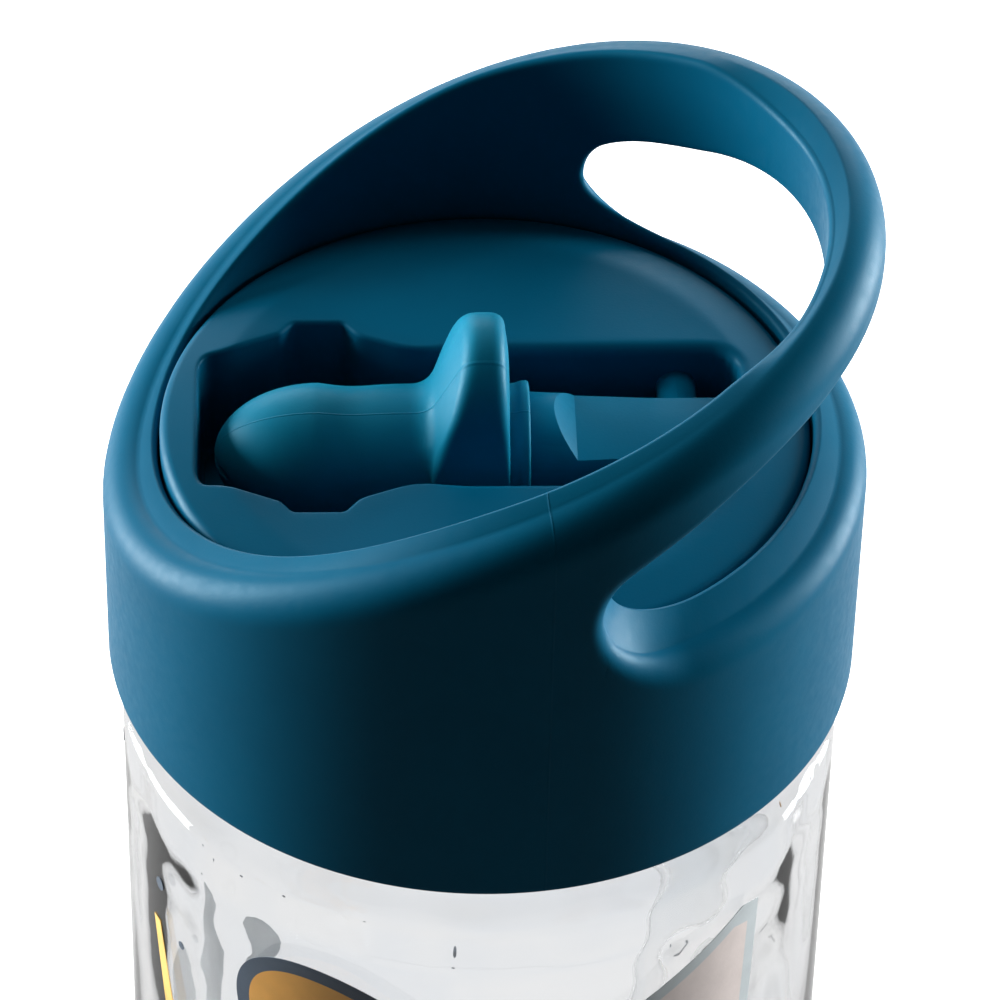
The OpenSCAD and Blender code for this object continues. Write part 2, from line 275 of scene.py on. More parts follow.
def softened(node: str, name: str, width: float, angle: float = 35.0) -> bpy.types.Object:
    """A copy of a CAD node with its hard edges rounded.

    Args:
        node: The CAD node's name.
        name: The new object's name.
        width: Width of the rounding, in millimetres.
        angle: Edges sharper than this many degrees are rounded.

    Returns:
        The new object, with plain mesh data and no modifiers.
    """
    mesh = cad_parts[node].data.copy()
    bm = bmesh.new()
    bm.from_mesh(mesh)
    bmesh.ops.remove_doubles(bm, verts=bm.verts, dist=1e-6)
    bmesh.ops.dissolve_limit(bm, angle_limit=math.radians(1.0), verts=bm.verts, edges=bm.edges)
    bm.to_mesh(mesh)
    bm.free()
    mesh.materials.clear()
    obj = bpy.data.objects.new(name, mesh)
    bpy.context.scene.collection.objects.link(obj)
    bevel = obj.modifiers.new("edge", "BEVEL")
    bevel.width = width * MM
    bevel.segments = 3
    bevel.limit_method = "ANGLE"
    bevel.angle_limit = math.radians(angle)
    bevel.miter_outer = "MITER_ARC"
    return settled(obj, 38)


def settled(obj: bpy.types.Object, sharp: float | None) -> bpy.types.Object:
    """Turn an object's modifiers into plain mesh data and shade it smooth.

    Args:
        obj: The object to settle.
        sharp: Angle in degrees past which an edge stays crisp, or None to leave the shading alone.

    Returns:
        The same object.
    """
    graph = bpy.context.evaluated_depsgraph_get()
    mesh = bpy.data.meshes.new_from_object(obj.evaluated_get(graph))
    obj.modifiers.clear()
    obj.data = mesh
    if sharp is not None:
        mesh.shade_smooth()
        mesh.set_sharp_from_angle(angle=math.radians(sharp))
    return obj


# --- finishes --------------------------------------------------------------------------------


class Nodes:
    """A short way to build a material's node tree."""

    def __init__(self, name: str) -> None:
        """Start a material of that name with its own Principled shader."""
        self.material = bpy.data.materials.new(name)
        self.material.use_nodes = True
        self.tree = self.material.node_tree
        self.shader = self.tree.nodes["Principled BSDF"]
        self.place = self.tree.nodes.new("ShaderNodeTexCoord").outputs["Object"]

    def put(self, **values: object) -> None:
        """Set the shader's own sockets.

        Args:
            values: A value for each socket. An underscore in a name stands for a space.
        """
        for key, value in values.items():
            self.shader.inputs[key.replace("_", " ")].default_value = value

    def link(self, source: bpy.types.NodeSocket, socket: str) -> None:
        """Feed one of the shader's sockets.

        Args:
            source: The output to feed it from.
            socket: The socket's name.
        """
        self.tree.links.new(source, self.shader.inputs[socket])

    def noise(self, scale: float, detail: float = 3.0, stretch: tuple[float, float, float] = (1, 1, 1),
              distortion: float = 0.0) -> bpy.types.NodeSocket:
        """Noise on the piece's own coordinates.

        Args:
            scale: Waves for each metre.
            detail: Octaves.
            stretch: Scale along X, Y and Z.
            distortion: How much the noise folds into itself.

        Returns:
            The noise's value.
        """
        mapping = self.tree.nodes.new("ShaderNodeMapping")
        mapping.inputs["Scale"].default_value = stretch
        self.tree.links.new(self.place, mapping.inputs["Vector"])
        node = self.tree.nodes.new("ShaderNodeTexNoise")
        node.inputs["Scale"].default_value = scale
        node.inputs["Detail"].default_value = detail
        node.inputs["Distortion"].default_value = distortion
        self.tree.links.new(mapping.outputs["Vector"], node.inputs["Vector"])
        return node.outputs["Fac"]

    def span(self, source: bpy.types.NodeSocket, low: float, high: float,
             start: float = 0.3, end: float = 0.7) -> bpy.types.NodeSocket:
        """Map one stretch of a value to another.

        Args:
            source: The value.
            low: The result at start.
            high: The result at end.
            start: Where the stretch starts.
            end: Where it ends.

        Returns:
            The mapped value.
        """
        node = self.tree.nodes.new("ShaderNodeMapRange")
        for key, value in (("From Min", start), ("From Max", end), ("To Min", low), ("To Max", high)):
            node.inputs[key].default_value = value
        self.tree.links.new(source, node.inputs["Value"])
        return node.outputs["Result"]

    def colours(self, source: bpy.types.NodeSocket,
                stops: list[tuple[float, tuple]]) -> bpy.types.NodeSocket:
        """A colour ramp.

        Args:
            source: The value that picks the colour.
            stops: A place from 0 to 1 and a linear colour for each stop.

        Returns:
            The picked colour.
        """
        ramp = self.tree.nodes.new("ShaderNodeValToRGB")
        band = ramp.color_ramp
        while len(band.elements) < len(stops):
            band.elements.new(0.5)
        for element, (place, colour) in zip(band.elements, stops):
            element.position = place
            element.color = (*colour, 1.0)
        self.tree.links.new(source, ramp.inputs["Fac"])
        return ramp.outputs["Color"]

    def math(self, kind: str, a: object, b: object = 0.0, c: object = 0.0) -> bpy.types.NodeSocket:
        """One arithmetic step.

        Args:
            kind: The operation.
            a: Its first term, a socket or a number.
            b: Its second term.
            c: Its third term, where it has one.

        Returns:
            The result.
        """
        node = self.tree.nodes.new("ShaderNodeMath")
        node.operation = kind
        for socket, value in zip(node.inputs, (a, b, c)):
            if isinstance(value, bpy.types.NodeSocket):
                self.tree.links.new(value, socket)
            else:
                socket.default_value = value
        return node.outputs["Value"]

    def bump(self, height: bpy.types.NodeSocket, distance: float, strength: float = 1.0,
             under: bpy.types.NodeSocket | None = None) -> bpy.types.NodeSocket:
        """A fine relief.

        Args:
            height: The relief's height, from 0 to 1.
            distance: Its full height in metres.
            strength: How strongly it shows.
            under: Another relief that it lies over.

        Returns:
            The bumped normal.
        """
        node = self.tree.nodes.new("ShaderNodeBump")
        node.inputs["Distance"].default_value = distance
        node.inputs["Strength"].default_value = strength
        self.tree.links.new(height, node.inputs["Height"])
        if under is not None:
            self.tree.links.new(under, node.inputs["Normal"])
        return node.outputs["Normal"]

    def ridge(self, turn: bpy.types.NodeSocket, sharpness: float) -> bpy.types.NodeSocket:
        """The height of a thin parting line.

        Args:
            turn: The angle from the line, in radians.
            sharpness: How quickly the line falls away, for each radian.

        Returns:
            1 on the line and 0 away from it.
        """
        away = self.math("MULTIPLY", self.math("ABSOLUTE", turn), sharpness)
        return self.math("SUBTRACT", 1.0, self.math("MINIMUM", away, 1.0))

    def axes(self) -> list[bpy.types.NodeSocket]:
        """The piece's own coordinates.

        Returns:
            X, Y and Z as three values.
        """
        node = self.tree.nodes.new("ShaderNodeSeparateXYZ")
        self.tree.links.new(self.place, node.inputs["Vector"])
        return [node.outputs[k] for k in "XYZ"]


@dataclass(frozen=True)
class MouldedTeal:
    """Satin polypropylene with a fine spark-eroded grain and a faint parting line."""

    name: str = "teal_plastic"
    deep: tuple = (0.0, 0.078, 0.15)
    light: tuple = (0.0, 0.092, 0.172)
    roughness: tuple = (0.38, 0.48)
    seam_deg: float | None = None
    seam_sharpness: float = 260.0

    def make(self) -> bpy.types.Material:
        """Build the material.

        Returns:
            The finished material.
        """
        n = Nodes(self.name)
        n.put(IOR=1.49, Specular_IOR_Level=0.1, Specular_Tint=(0.05, 0.6, 0.9, 1))
        cloud = n.noise(55, 4)
        n.link(n.colours(cloud, [(0.3, self.deep), (0.7, self.light)]), "Base Color")
        n.link(n.span(n.noise(900, 5), *self.roughness), "Roughness")
        normal = n.bump(n.noise(120, 2), 0.00006, 0.5)
        if self.seam_deg is not None:
            x, y, _ = n.axes()
            turn = n.math("SUBTRACT", n.math("ARCTAN2", y, x), math.radians(self.seam_deg))
            normal = n.bump(n.ridge(turn, self.seam_sharpness), 0.00003, 1.0, normal)
        normal = n.bump(n.noise(3800, 2), 0.000009, 1.0, normal)
        n.link(normal, "Normal")
        return n.material


@dataclass(frozen=True)
class SoftSilicone:
    """Satin silicone with a velvety surface and faint flow marks."""

    name: str = "teal_silicone"
    # deep and light are the silicone's own teal, partly painted lighter to stand in for the overhead light
    # that the mouthpiece gets too little of in the pocket.
    deep: tuple = (0.001, 0.145, 0.24)
    light: tuple = (0.002, 0.17, 0.28)
    roughness: tuple = (0.42, 0.54)
    scatter: float = 0.05
    shine: tuple = (0.12, 0.62, 0.88, 1.0)
    seam: bool = True
    seam_deg: float = 14.0
    seam_sharpness: float = 60.0
    axis_z: float = 0.153

    def make(self) -> bpy.types.Material:
        """Build the material.

        Returns:
            The finished material.
        """
        n = Nodes(self.name)
        n.put(IOR=1.42, Subsurface_Weight=self.scatter, Subsurface_Scale=0.002, Specular_IOR_Level=0.18,
              Specular_Tint=self.shine)
        n.link(n.colours(n.noise(80, 4), [(0.3, self.deep), (0.7, self.light)]), "Base Color")
        n.link(n.span(n.noise(700, 4), *self.roughness), "Roughness")
        normal = n.bump(n.noise(140, 3), 0.00006, 0.5)
        if self.seam:
            _, y, z = n.axes()
            turn = n.math("ARCTAN2", n.math("SUBTRACT", 0.0, y), n.math("SUBTRACT", z, self.axis_z))
            off = n.math("SUBTRACT", turn, math.radians(self.seam_deg))
            normal = n.bump(n.ridge(off, self.seam_sharpness), 0.00004, 1.0, normal)
        normal = n.bump(n.noise(3000, 2), 0.000008, 1.0, normal)
        n.link(normal, "Normal")
        return n.material


@dataclass(frozen=True)
class ClearPlastic:
    """Polished clear copolyester with the slow waves of a thick moulding."""

    name: str = "clear_plastic"
    tint: tuple = (0.93, 0.95, 0.975)
    roughness: float = 0.02
    wave: float = 0.0011

    def make(self) -> bpy.types.Material:
        """Build the material.

        Returns:
            The finished material.
        """
        n = Nodes(self.name)
        n.put(Transmission_Weight=1.0, IOR=1.5, Roughness=self.roughness)
        n.link(n.colours(n.noise(30, 2), [(0.35, self.tint), (0.65, (1.0, 1.0, 1.0))]), "Base Color")
        waves = n.bump(n.noise(34, 1, (1, 1, 0.3), 0.5), self.wave, 0.8)
        n.link(n.bump(n.noise(260, 2), 0.00001, 0.4, waves), "Normal")
        return n.material


@dataclass(frozen=True)
class Ink:
    """Screen-printed ink: a flat colour with a fine mottle and a low ridge of its own."""

    name: str
    colour: tuple
    roughness: tuple = (0.3, 0.42)

    def make(self) -> bpy.types.Material:
        """Build the material.

        Returns:
            The finished material.
        """
        n = Nodes(self.name)
        shade = tuple(c * 0.93 for c in self.colour)
        n.link(n.colours(n.noise(420, 4), [(0.35, shade), (0.65, self.colour)]), "Base Color")
        n.link(n.span(n.noise(1500, 3), *self.roughness), "Roughness")
        n.link(n.bump(n.noise(2600, 3), 0.00001, 1.0), "Normal")
        return n.material


def dress(obj: bpy.types.Object, material: bpy.types.Material, body: str, slot: str, *nodes: str) -> None:
    """Give a piece its finish and its place in the frame.

    Args:
        obj: The finished piece.
        material: Its finish.
        body: The body it rides on.
        slot: The record's material slot. Not used.
        nodes: The CAD nodes that it stands for.
    """
    obj.data.materials.clear()
    obj.data.materials.append(material)
    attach(obj, body)
    if nodes:
        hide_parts(*nodes)
    log.info("%s: %d faces, rides on %s", obj.name, len(obj.data.polygons), body)


# --- lid -------------------------------------------------------------------------------------


@dataclass
class LidRing:
    """The collar with its web, its plug rib and the ring that rises into the finger loop.

    Lengths are in millimetres and heights are above the lid's lower edge. The wall has an outer and
    an inner sheet. Each is laid out in columns round the axis: some cross the finger opening, where
    the sheet is split in two, and the rest run unbroken from the lower edge to the crest.
    """

    low_z: float
    radius: float
    wall: float = 5.5
    crest_low: float = 23.4
    crest_high: float = 55.7
    crest_arc: float = 215.0
    eye_x: float = 10.4
    eye_turn: float = 34.0
    eye_top_r: float = 6.0
    eye_low_r: float = 9.0
    eye_lean_deg: float = 38.0
    strap_low: float = 50.9
    strap_sag: float = 1.7
    shoulder_outer: float = 26.2
    shoulder_inner: float = 28.8
    rise_low: float = -1.6
    rise_mid: float = 1.2
    rise_crown: float = -0.7
    rise_start: float = -29.0
    rise_run: float = 30.0
    crown_start: float = 21.0
    crown_run: float = 9.0
    strap_hang: float = 2.7
    hang_run: float = 12.0
    outer_round: float = 3.8
    inner_round: float = 0.7
    strap_round: float = 0.7
    shoulder_round: float = 3.0
    inner_shoulder_round: float = 0.8
    web_low: float = 11.4
    web_top: float = 13.4
    skirt_in_r: float = 32.8
    rib_out: float = 28.25
    rib_in: float = 27.05
    rib_depth: float = 3.0
    foot_z: float = 1.0
    eye_columns: int = 72
    wall_columns: int = 72
    column_crowding: float = 1.8
    low_rows: int = 30
    high_rows: int = 26
    edge_steps: int = 1300
    batch: int = 500

    def crest(self, x: np.ndarray, inside: bool) -> np.ndarray:
        """Height of the ring's top edge, which stands a little off the arc on the inner sheet.

        Args:
            x: Places along X.
            inside: Whether this is the inner sheet.

        Returns:
            The height at each place.
        """
        c = centre_below(np.array([-self.radius, self.crest_low]), np.array([self.radius, self.crest_high]),
                         self.crest_arc)
        arc = c[1] + np.sqrt(self.crest_arc**2 - (x - c[0]) ** 2)
        rise = self.rise_low + (self.rise_mid - self.rise_low) * smoothstep(
            (x - self.rise_start) / self.rise_run)
        rise = rise + (self.rise_crown - self.rise_mid) * smoothstep(
            (x - self.crown_start) / self.crown_run)
        return arc + (rise if inside else 0.0)

    def eye_high(self, x: np.ndarray, inside: bool) -> np.ndarray:
        """Height of the strap's underside, which hangs lower on the inner sheet.

        Args:
            x: Places along X.
            inside: Whether this is the inner sheet.

        Returns:
            The height at each place.
        """
        hang = self.strap_hang * smoothstep((x - self.eye_x) / self.hang_run) if inside else 0.0
        return self.eye_top(x) - hang

    def eye_top(self, x: np.ndarray) -> np.ndarray:
        """Height of the strap's underside on the outer sheet.

        Args:
            x: Places along X.

        Returns:
            The height at each place, on the opening's rounded end and then on the strap's long arc.
        """
        lean = math.radians(self.eye_lean_deg)
        turn_x = self.eye_x + self.eye_top_r
        start = np.array([turn_x - self.eye_top_r * math.sin(lean),
                          self.eye_turn + self.eye_top_r * math.cos(lean)])
        end = np.array([self.radius, self.strap_low])
        chord = float(np.hypot(*(end - start)))
        arc_r = chord**2 / (8 * self.strap_sag) + self.strap_sag / 2
        c = centre_below(start, end, arc_r)
        end_curve = self.eye_turn + np.sqrt(np.clip(self.eye_top_r**2 - (x - turn_x) ** 2, 0, None))
        long_arc = c[1] + np.sqrt(np.clip(arc_r**2 - (x - c[0]) ** 2, 0, None))
        return np.where(x < start[0], end_curve, long_arc)

    def eye_low(self, x: np.ndarray, floor: float) -> np.ndarray:
        """Height of the shoulder below the opening.

        Args:
            x: Places along X.
            floor: Height of the shoulder's level part.

        Returns:
            The height at each place.
        """
        turn_x = self.eye_x + self.eye_low_r
        near = np.minimum(x, turn_x)
        drop = np.sqrt(np.clip(self.eye_low_r**2 - (near - turn_x) ** 2, 0, None)) / self.eye_low_r
        return self.eye_turn - (self.eye_turn - floor) * drop

    def columns(self, r: float) -> tuple[np.ndarray, int]:
        """Column angles for half the ring, from the loop's crown round to the spout's end.

        Args:
            r: The sheet's radius.

        Returns:
            The angles, and the number of the column that meets the opening's rounded end.
        """
        end = math.acos(self.eye_x / r)
        u = np.linspace(1, 0, self.eye_columns + 1)
        v = np.linspace(0, 1, self.wall_columns + 1)[1:]
        over_eye = end * (1 - u**self.column_crowding)
        over_wall = end + (math.pi - end) * (0.25 * v + 0.75 * v * v)
        return np.concatenate([over_eye, over_wall]), self.eye_columns

    def sheet(self, r: float, floor: float, rounds: tuple[float, float, float], inward: float,
              foot: float) -> dict[str, np.ndarray]:
        """Lay out one sheet of the wall.

        Args:
            r: The sheet's radius.
            floor: Height of its shoulder.
            rounds: Radii of the rounding along the crest, the shoulder and the strap's underside.
            inward: +1 where rounding moves the sheet towards the axis, -1 where it moves away.
            foot: Height at which the sheet starts.

        Returns:
            The rows below and above the opening, each as (row, column, xyz) for the whole circle.
        """
        half, corner = self.columns(r)
        x = r * np.cos(half)
        past = np.clip((np.arange(len(half)) - corner) / self.wall_columns, 0, 1)
        slit = self.eye_turn + (0.5 * self.crest_low - self.eye_turn) * smoothstep(past)
        in_eye = np.arange(len(half)) <= corner
        low_edge = np.where(in_eye, self.eye_low(x, floor), slit)
        inside = inward < 0
        high_edge = np.where(in_eye, self.eye_high(x, inside), slit)
        crest = self.crest(x, inside)
        t = np.sin(np.linspace(0, math.pi / 2, self.low_rows))[:, None]
        k = (0.5 - 0.5 * np.cos(np.linspace(0, math.pi, self.high_rows)))[:, None]
        low = foot + (low_edge - foot) * t
        high = high_edge + (crest - high_edge) * k
        edges = self.edge_lines(r, floor, rounds, inside)
        return {"low": self.wrapped(half, low, r, edges, inward),
                "high": self.wrapped(half, high, r, edges, inward)}

    def edge_lines(self, r: float, floor: float, rounds: tuple[float, float, float],
                   inside: bool) -> list[np.ndarray]:
        """The sheet's three edges.

        Args:
            r: The sheet's radius.
            floor: Height of its shoulder.
            rounds: Radii of the rounding along the crest, the shoulder and the strap's underside.
            inside: Whether this is the inner sheet.

        Returns:
            One polyline for each edge, as arc length, height and rounding radius.
        """
        steps = self.edge_steps
        crest_r, shoulder_r, strap_r = rounds
        turn = np.linspace(0, math.pi, steps)
        crest_height = self.crest(r * np.cos(turn), inside)
        u = np.linspace(0, 1, steps) ** 2
        angle = math.acos(self.eye_x / r) * (1 - u)
        x = r * np.cos(angle)
        end_r = (shoulder_r + strap_r) / 2
        from_end = smoothstep((x - self.eye_x) / self.eye_low_r)
        return [
            np.stack([r * turn, crest_height, np.full(steps, crest_r)], axis=-1),
            np.stack([r * angle, self.eye_low(x, floor), end_r + (shoulder_r - end_r) * from_end], axis=-1),
            np.stack([r * angle, self.eye_high(x, inside), end_r + (strap_r - end_r) * from_end], axis=-1)]

    @staticmethod
    def distance(points: np.ndarray, line: np.ndarray) -> tuple[np.ndarray, np.ndarray]:
        """Distance from each point to a polyline.

        Args:
            points: Points as arc length and height.
            line: The polyline, as arc length, height and rounding radius.

        Returns:
            The distances, and the rounding radius where the line comes nearest to each point.
        """
        near = ((points[:, None] - line[None, :, :2]) ** 2).sum(-1).argmin(1)
        here = line[near, :2]
        away = np.hypot(*(points - here).T)
        for step in (-1, 1):
            along = line[np.clip(near + step, 0, len(line) - 1), :2] - here
            share = ((points - here) * along).sum(-1) / np.maximum((along**2).sum(-1), 1e-12)
            foot = here + along * np.clip(share, 0, 1)[:, None]
            away = np.minimum(away, np.hypot(*(points - foot).T))
        return away, line[near, 2]

    def wrapped(self, half: np.ndarray, height: np.ndarray, r: float, edges: list[np.ndarray],
                inward: float) -> np.ndarray:
        """Place a half sheet's rows on the cylinder, round its edges and mirror it.

        Args:
            half: Column angles of the half sheet.
            height: Heights as (row, column).
            r: The sheet's radius.
            edges: The edges to round, from edge_lines.
            inward: +1 where rounding moves the sheet towards the axis, -1 where it moves away.

        Returns:
            Points of the whole circle as (row, column, xyz).
        """
        flat = np.stack([np.broadcast_to(r * half, height.shape), height], axis=-1).reshape(-1, 2)
        sink = np.zeros(len(flat))
        for line in edges:
            for start in range(0, len(flat), self.batch):
                part = slice(start, start + self.batch)
                away, radius = self.distance(flat[part], line)
                short = np.clip(radius - away, 0, None)
                fall = radius - np.sqrt(np.clip(radius**2 - short**2, 0, None))
                sink[part] = np.maximum(sink[part], fall)
        at = r - inward * sink.reshape(height.shape)
        upper = np.stack([at * np.cos(half), at * np.sin(half), self.low_z + height], axis=-1)
        lower = upper[:, -2:0:-1] * np.array([1, -1, 1])
        return np.concatenate([upper, lower], axis=1)

    @staticmethod
    def join(shell: Shell, outer: np.ndarray, inner: np.ndarray, keep: np.ndarray) -> None:
        """Bridge the outer sheet's edge to the inner one's.

        Args:
            shell: The shell that takes the faces.
            outer: Vertex numbers of the outer edge.
            inner: Vertex numbers of the inner edge.
            keep: Which columns are bridged.
        """
        n = len(outer)
        for i in range(n):
            j = (i + 1) % n
            if keep[i] and keep[j]:
                shell.faces.append((int(outer[i]), int(outer[j]), int(inner[j]), int(inner[i])))

    def build(self) -> bpy.types.Object:
        """Build the whole lid shell.

        Returns:
            The new object.
        """
        shell = Shell()
        in_r = self.radius - self.wall
        out = self.sheet(self.radius, self.shoulder_outer,
                         (self.outer_round, self.shoulder_round, self.strap_round), 1, self.foot_z)
        ins = self.sheet(in_r, self.shoulder_inner,
                         (self.inner_round, self.inner_shoulder_round, self.strap_round), -1,
                         self.web_top + 0.5)
        index = {("out", k): shell.row_grid(v) for k, v in out.items()}
        index |= {("in", k): shell.row_grid(v) for k, v in ins.items()}
        n = index["out", "low"].shape[1]
        half = len(self.columns(self.radius)[0])
        order = np.concatenate([np.arange(half), np.arange(half - 2, 0, -1)])
        in_eye = order <= self.eye_columns
        everywhere = np.ones(n, bool)
        self.join(shell, index["out", "low"][-1], index["in", "low"][-1], in_eye)
        self.join(shell, index["out", "high"][0], index["in", "high"][0], in_eye)
        self.join(shell, index["out", "high"][-1], index["in", "high"][-1], everywhere)
        self.foot(shell, out["low"][0], index["out", "low"][0])
        self.floor(shell, ins["low"][0], index["in", "low"][0], in_r)
        return shell.build("lid_ring", None)

    def foot(self, shell: Shell, first: np.ndarray, index: np.ndarray) -> None:
        """Turn the outer sheet under the lower edge, up the skirt and across the web to the axis.

        Args:
            shell: The lid's shell.
            first: The outer sheet's lowest row of points.
            index: That row's vertex numbers.
        """
        angle = np.arctan2(first[:, 1], first[:, 0])
        rib_low = self.web_low - self.rib_depth
        path = rounded_path(
            [(self.radius, self.foot_z), (self.radius, 0), (self.skirt_in_r + 0.3, 0),
             (self.skirt_in_r, self.web_low), (self.rib_out, self.web_low), (self.rib_out, rib_low),
             (self.rib_in, rib_low), (self.rib_in, self.web_low), (2, self.web_low)],
            [0, 0.9, 0.5, 0.6, 0.4, 0.3, 0.3, 0.4, 0])[1:]
        shell.finish_with(index, spun(path, angle, self.low_z), (0, 0, self.low_z + self.web_low))

    def floor(self, shell: Shell, first: np.ndarray, index: np.ndarray, in_r: float) -> None:
        """Turn the inner sheet in to the web's upper face.

        Args:
            shell: The lid's shell.
            first: The inner sheet's lowest row of points.
            index: That row's vertex numbers.
            in_r: The inner sheet's radius.
        """
        angle = np.arctan2(first[:, 1], first[:, 0])
        path = np.array([(in_r - 0.1, self.web_top + 0.15), (in_r - 0.4, self.web_top), (2, self.web_top)])
        shell.finish_with(index, spun(path, angle, self.low_z), (0, 0, self.low_z + self.web_top))


@dataclass
class LidDeck:
    """The insert inside the ring: a crowned deck with the pocket that the spout folds into."""

    top_z: float
    low_z: float
    radius: float
    band: float = 5.2
    slope: float = 0.95
    edge_round: float = 0.9
    floor_z: float = 145.1
    half: float = 9.8
    corner: float = 3.5
    back: float = 25.2
    front: float = 28.0
    notch: tuple = (-19.3, -13.2)
    notch_slant: float = 0.6
    notch_half: float = 13.9
    bulge: float = 2.5
    bulge_front: float = 25.4
    bulge_back: float = 7.2
    face_rows: int = 26
    crease_soft: float = 0.3
    edge_soft: float = 0.5
    edge_soft_more: float = 0.8
    soft_run: float = 6.0
    lip_rows: int = 8

    def outline(self) -> tuple[np.ndarray, np.ndarray]:
        """The pocket's edge and how softly each point of it is rounded.

        Returns:
            Points in X and Y round the whole pocket, and one rounding radius for each.
        """
        left, right = self.notch
        slant, wide = self.notch_slant, self.half + self.bulge
        corners = [(self.back, 0), (self.back, self.half), (-self.bulge_back, self.half),
                   (right + 1.2, wide - 0.5), (right + slant, wide), (right - slant, self.notch_half),
                   (left + slant, self.notch_half), (left - slant, wide), (left - 1.3, wide - 0.3),
                   (-self.bulge_front, self.half), (-self.front, self.half - 0.4), (-self.front, 0)]
        cuts = [0, self.corner, 2.0, 0.8, 0.35, 0.45, 0.45, 0.35, 0.8, 1.5, 2.6, 0]
        upper = dense_path(rounded_path(corners, cuts, 5), 0.42)
        lower = upper[-2:0:-1] * np.array([1, -1])
        points = np.concatenate([upper, lower])
        soft = self.edge_soft + self.edge_soft_more * smoothstep(
            (points[:, 0] + self.bulge_back) / self.soft_run)
        return points, soft

    def top(self, x: np.ndarray, y: np.ndarray) -> np.ndarray:
        """Height of the deck's face: level, then a sloping band, then a rounded rim.

        Args:
            x: Places along X.
            y: Places along Y.

        Returns:
            The height at each place.
        """
        r = np.hypot(x, y)
        out = np.clip(r - (self.radius - self.band), 0, None)
        crease = 0.5 * (out + np.sqrt(out**2 + self.crease_soft**2) - self.crease_soft)
        tuck = np.clip(r - (self.radius - self.edge_round), 0, self.edge_round * 0.995)
        turn = self.edge_round - np.sqrt(self.edge_round**2 - tuck**2)
        return self.top_z - self.slope * crease / self.band - turn

    def build(self) -> bpy.types.Object:
        """Build the deck as one closed solid.

        Returns:
            The new object.
        """
        edge, soft = self.outline()
        ahead, behind = np.roll(edge, -1, 0), np.roll(edge, 1, 0)
        along = ahead - behind
        normal = np.stack([along[:, 1], -along[:, 0]], axis=-1) / np.hypot(*along.T)[:, None]
        hub = np.array([sum(self.notch) / 2, 0.0])
        rows = []
        for depth in (1.0, 0.55, 0.2):
            z = self.floor_z + (1 - depth) * 0.6
            rows.append(self.row(edge - normal * 0.5 * (depth - 0.2), np.full(len(edge), z)))
        wall_top = self.top(*edge.T) - soft
        rows.append(self.row(edge, np.full(len(edge), self.floor_z + 1.0)))
        rows.append(self.row(edge, (self.floor_z + 1.0 + wall_top) / 2))
        for k in range(self.lip_rows):
            a = math.pi / 2 * k / (self.lip_rows - 1)
            flat = edge + normal * (soft * (1 - math.cos(a)))[:, None]
            z = self.top(*flat.T) - soft * (1 - math.sin(a))
            rows.append(self.row(flat, z))
        start = edge + normal * soft[:, None]
        rim = self.cast(start, hub)
        turn = np.arctan2(rim[:, 1], rim[:, 0])
        for k in range(1, self.face_rows + 1):
            flat = start + (rim - start) * (1 - (1 - k / self.face_rows) ** 2.2)
            rows.append(self.row(flat, self.top(*flat.T)))
        rim_z = self.top_z - self.slope - self.edge_round
        for r, z in ((self.radius, rim_z - 0.2), (self.radius, self.low_z + 0.3),
                     (self.radius - 0.3, self.low_z), (20.0, self.low_z), (8.0, self.low_z)):
            rows.append(spun(np.array([(r, z)]), turn)[0])
        shell = Shell()
        grid = shell.row_grid(np.array(rows))
        shell.close(grid[0], (*hub, self.floor_z))
        shell.close(grid[-1], (0, 0, self.low_z))
        return shell.build("lid_deck_insert", 50)

    def cast(self, start: np.ndarray, hub: np.ndarray) -> np.ndarray:
        """Where rays from the hub through the given points meet the deck's rim.

        Args:
            start: The points, in X and Y.
            hub: The point that the rays start from.

        Returns:
            One point on the rim for each ray.
        """
        d = (start - hub) / np.hypot(*(start - hub).T)[:, None]
        b = d @ hub
        return hub + d * (-b + np.sqrt(b * b + self.radius**2 - hub @ hub))[:, None]

    @staticmethod
    def row(flat: np.ndarray, z: np.ndarray) -> np.ndarray:
        """A row of points from their places and heights.

        Args:
            flat: The points' X and Y.
            z: Their heights.

        Returns:
            The points' X, Y and Z.
        """
        return np.concatenate([flat, np.asarray(z)[:, None]], axis=1)


# --- spout -----------------------------------------------------------------------------------


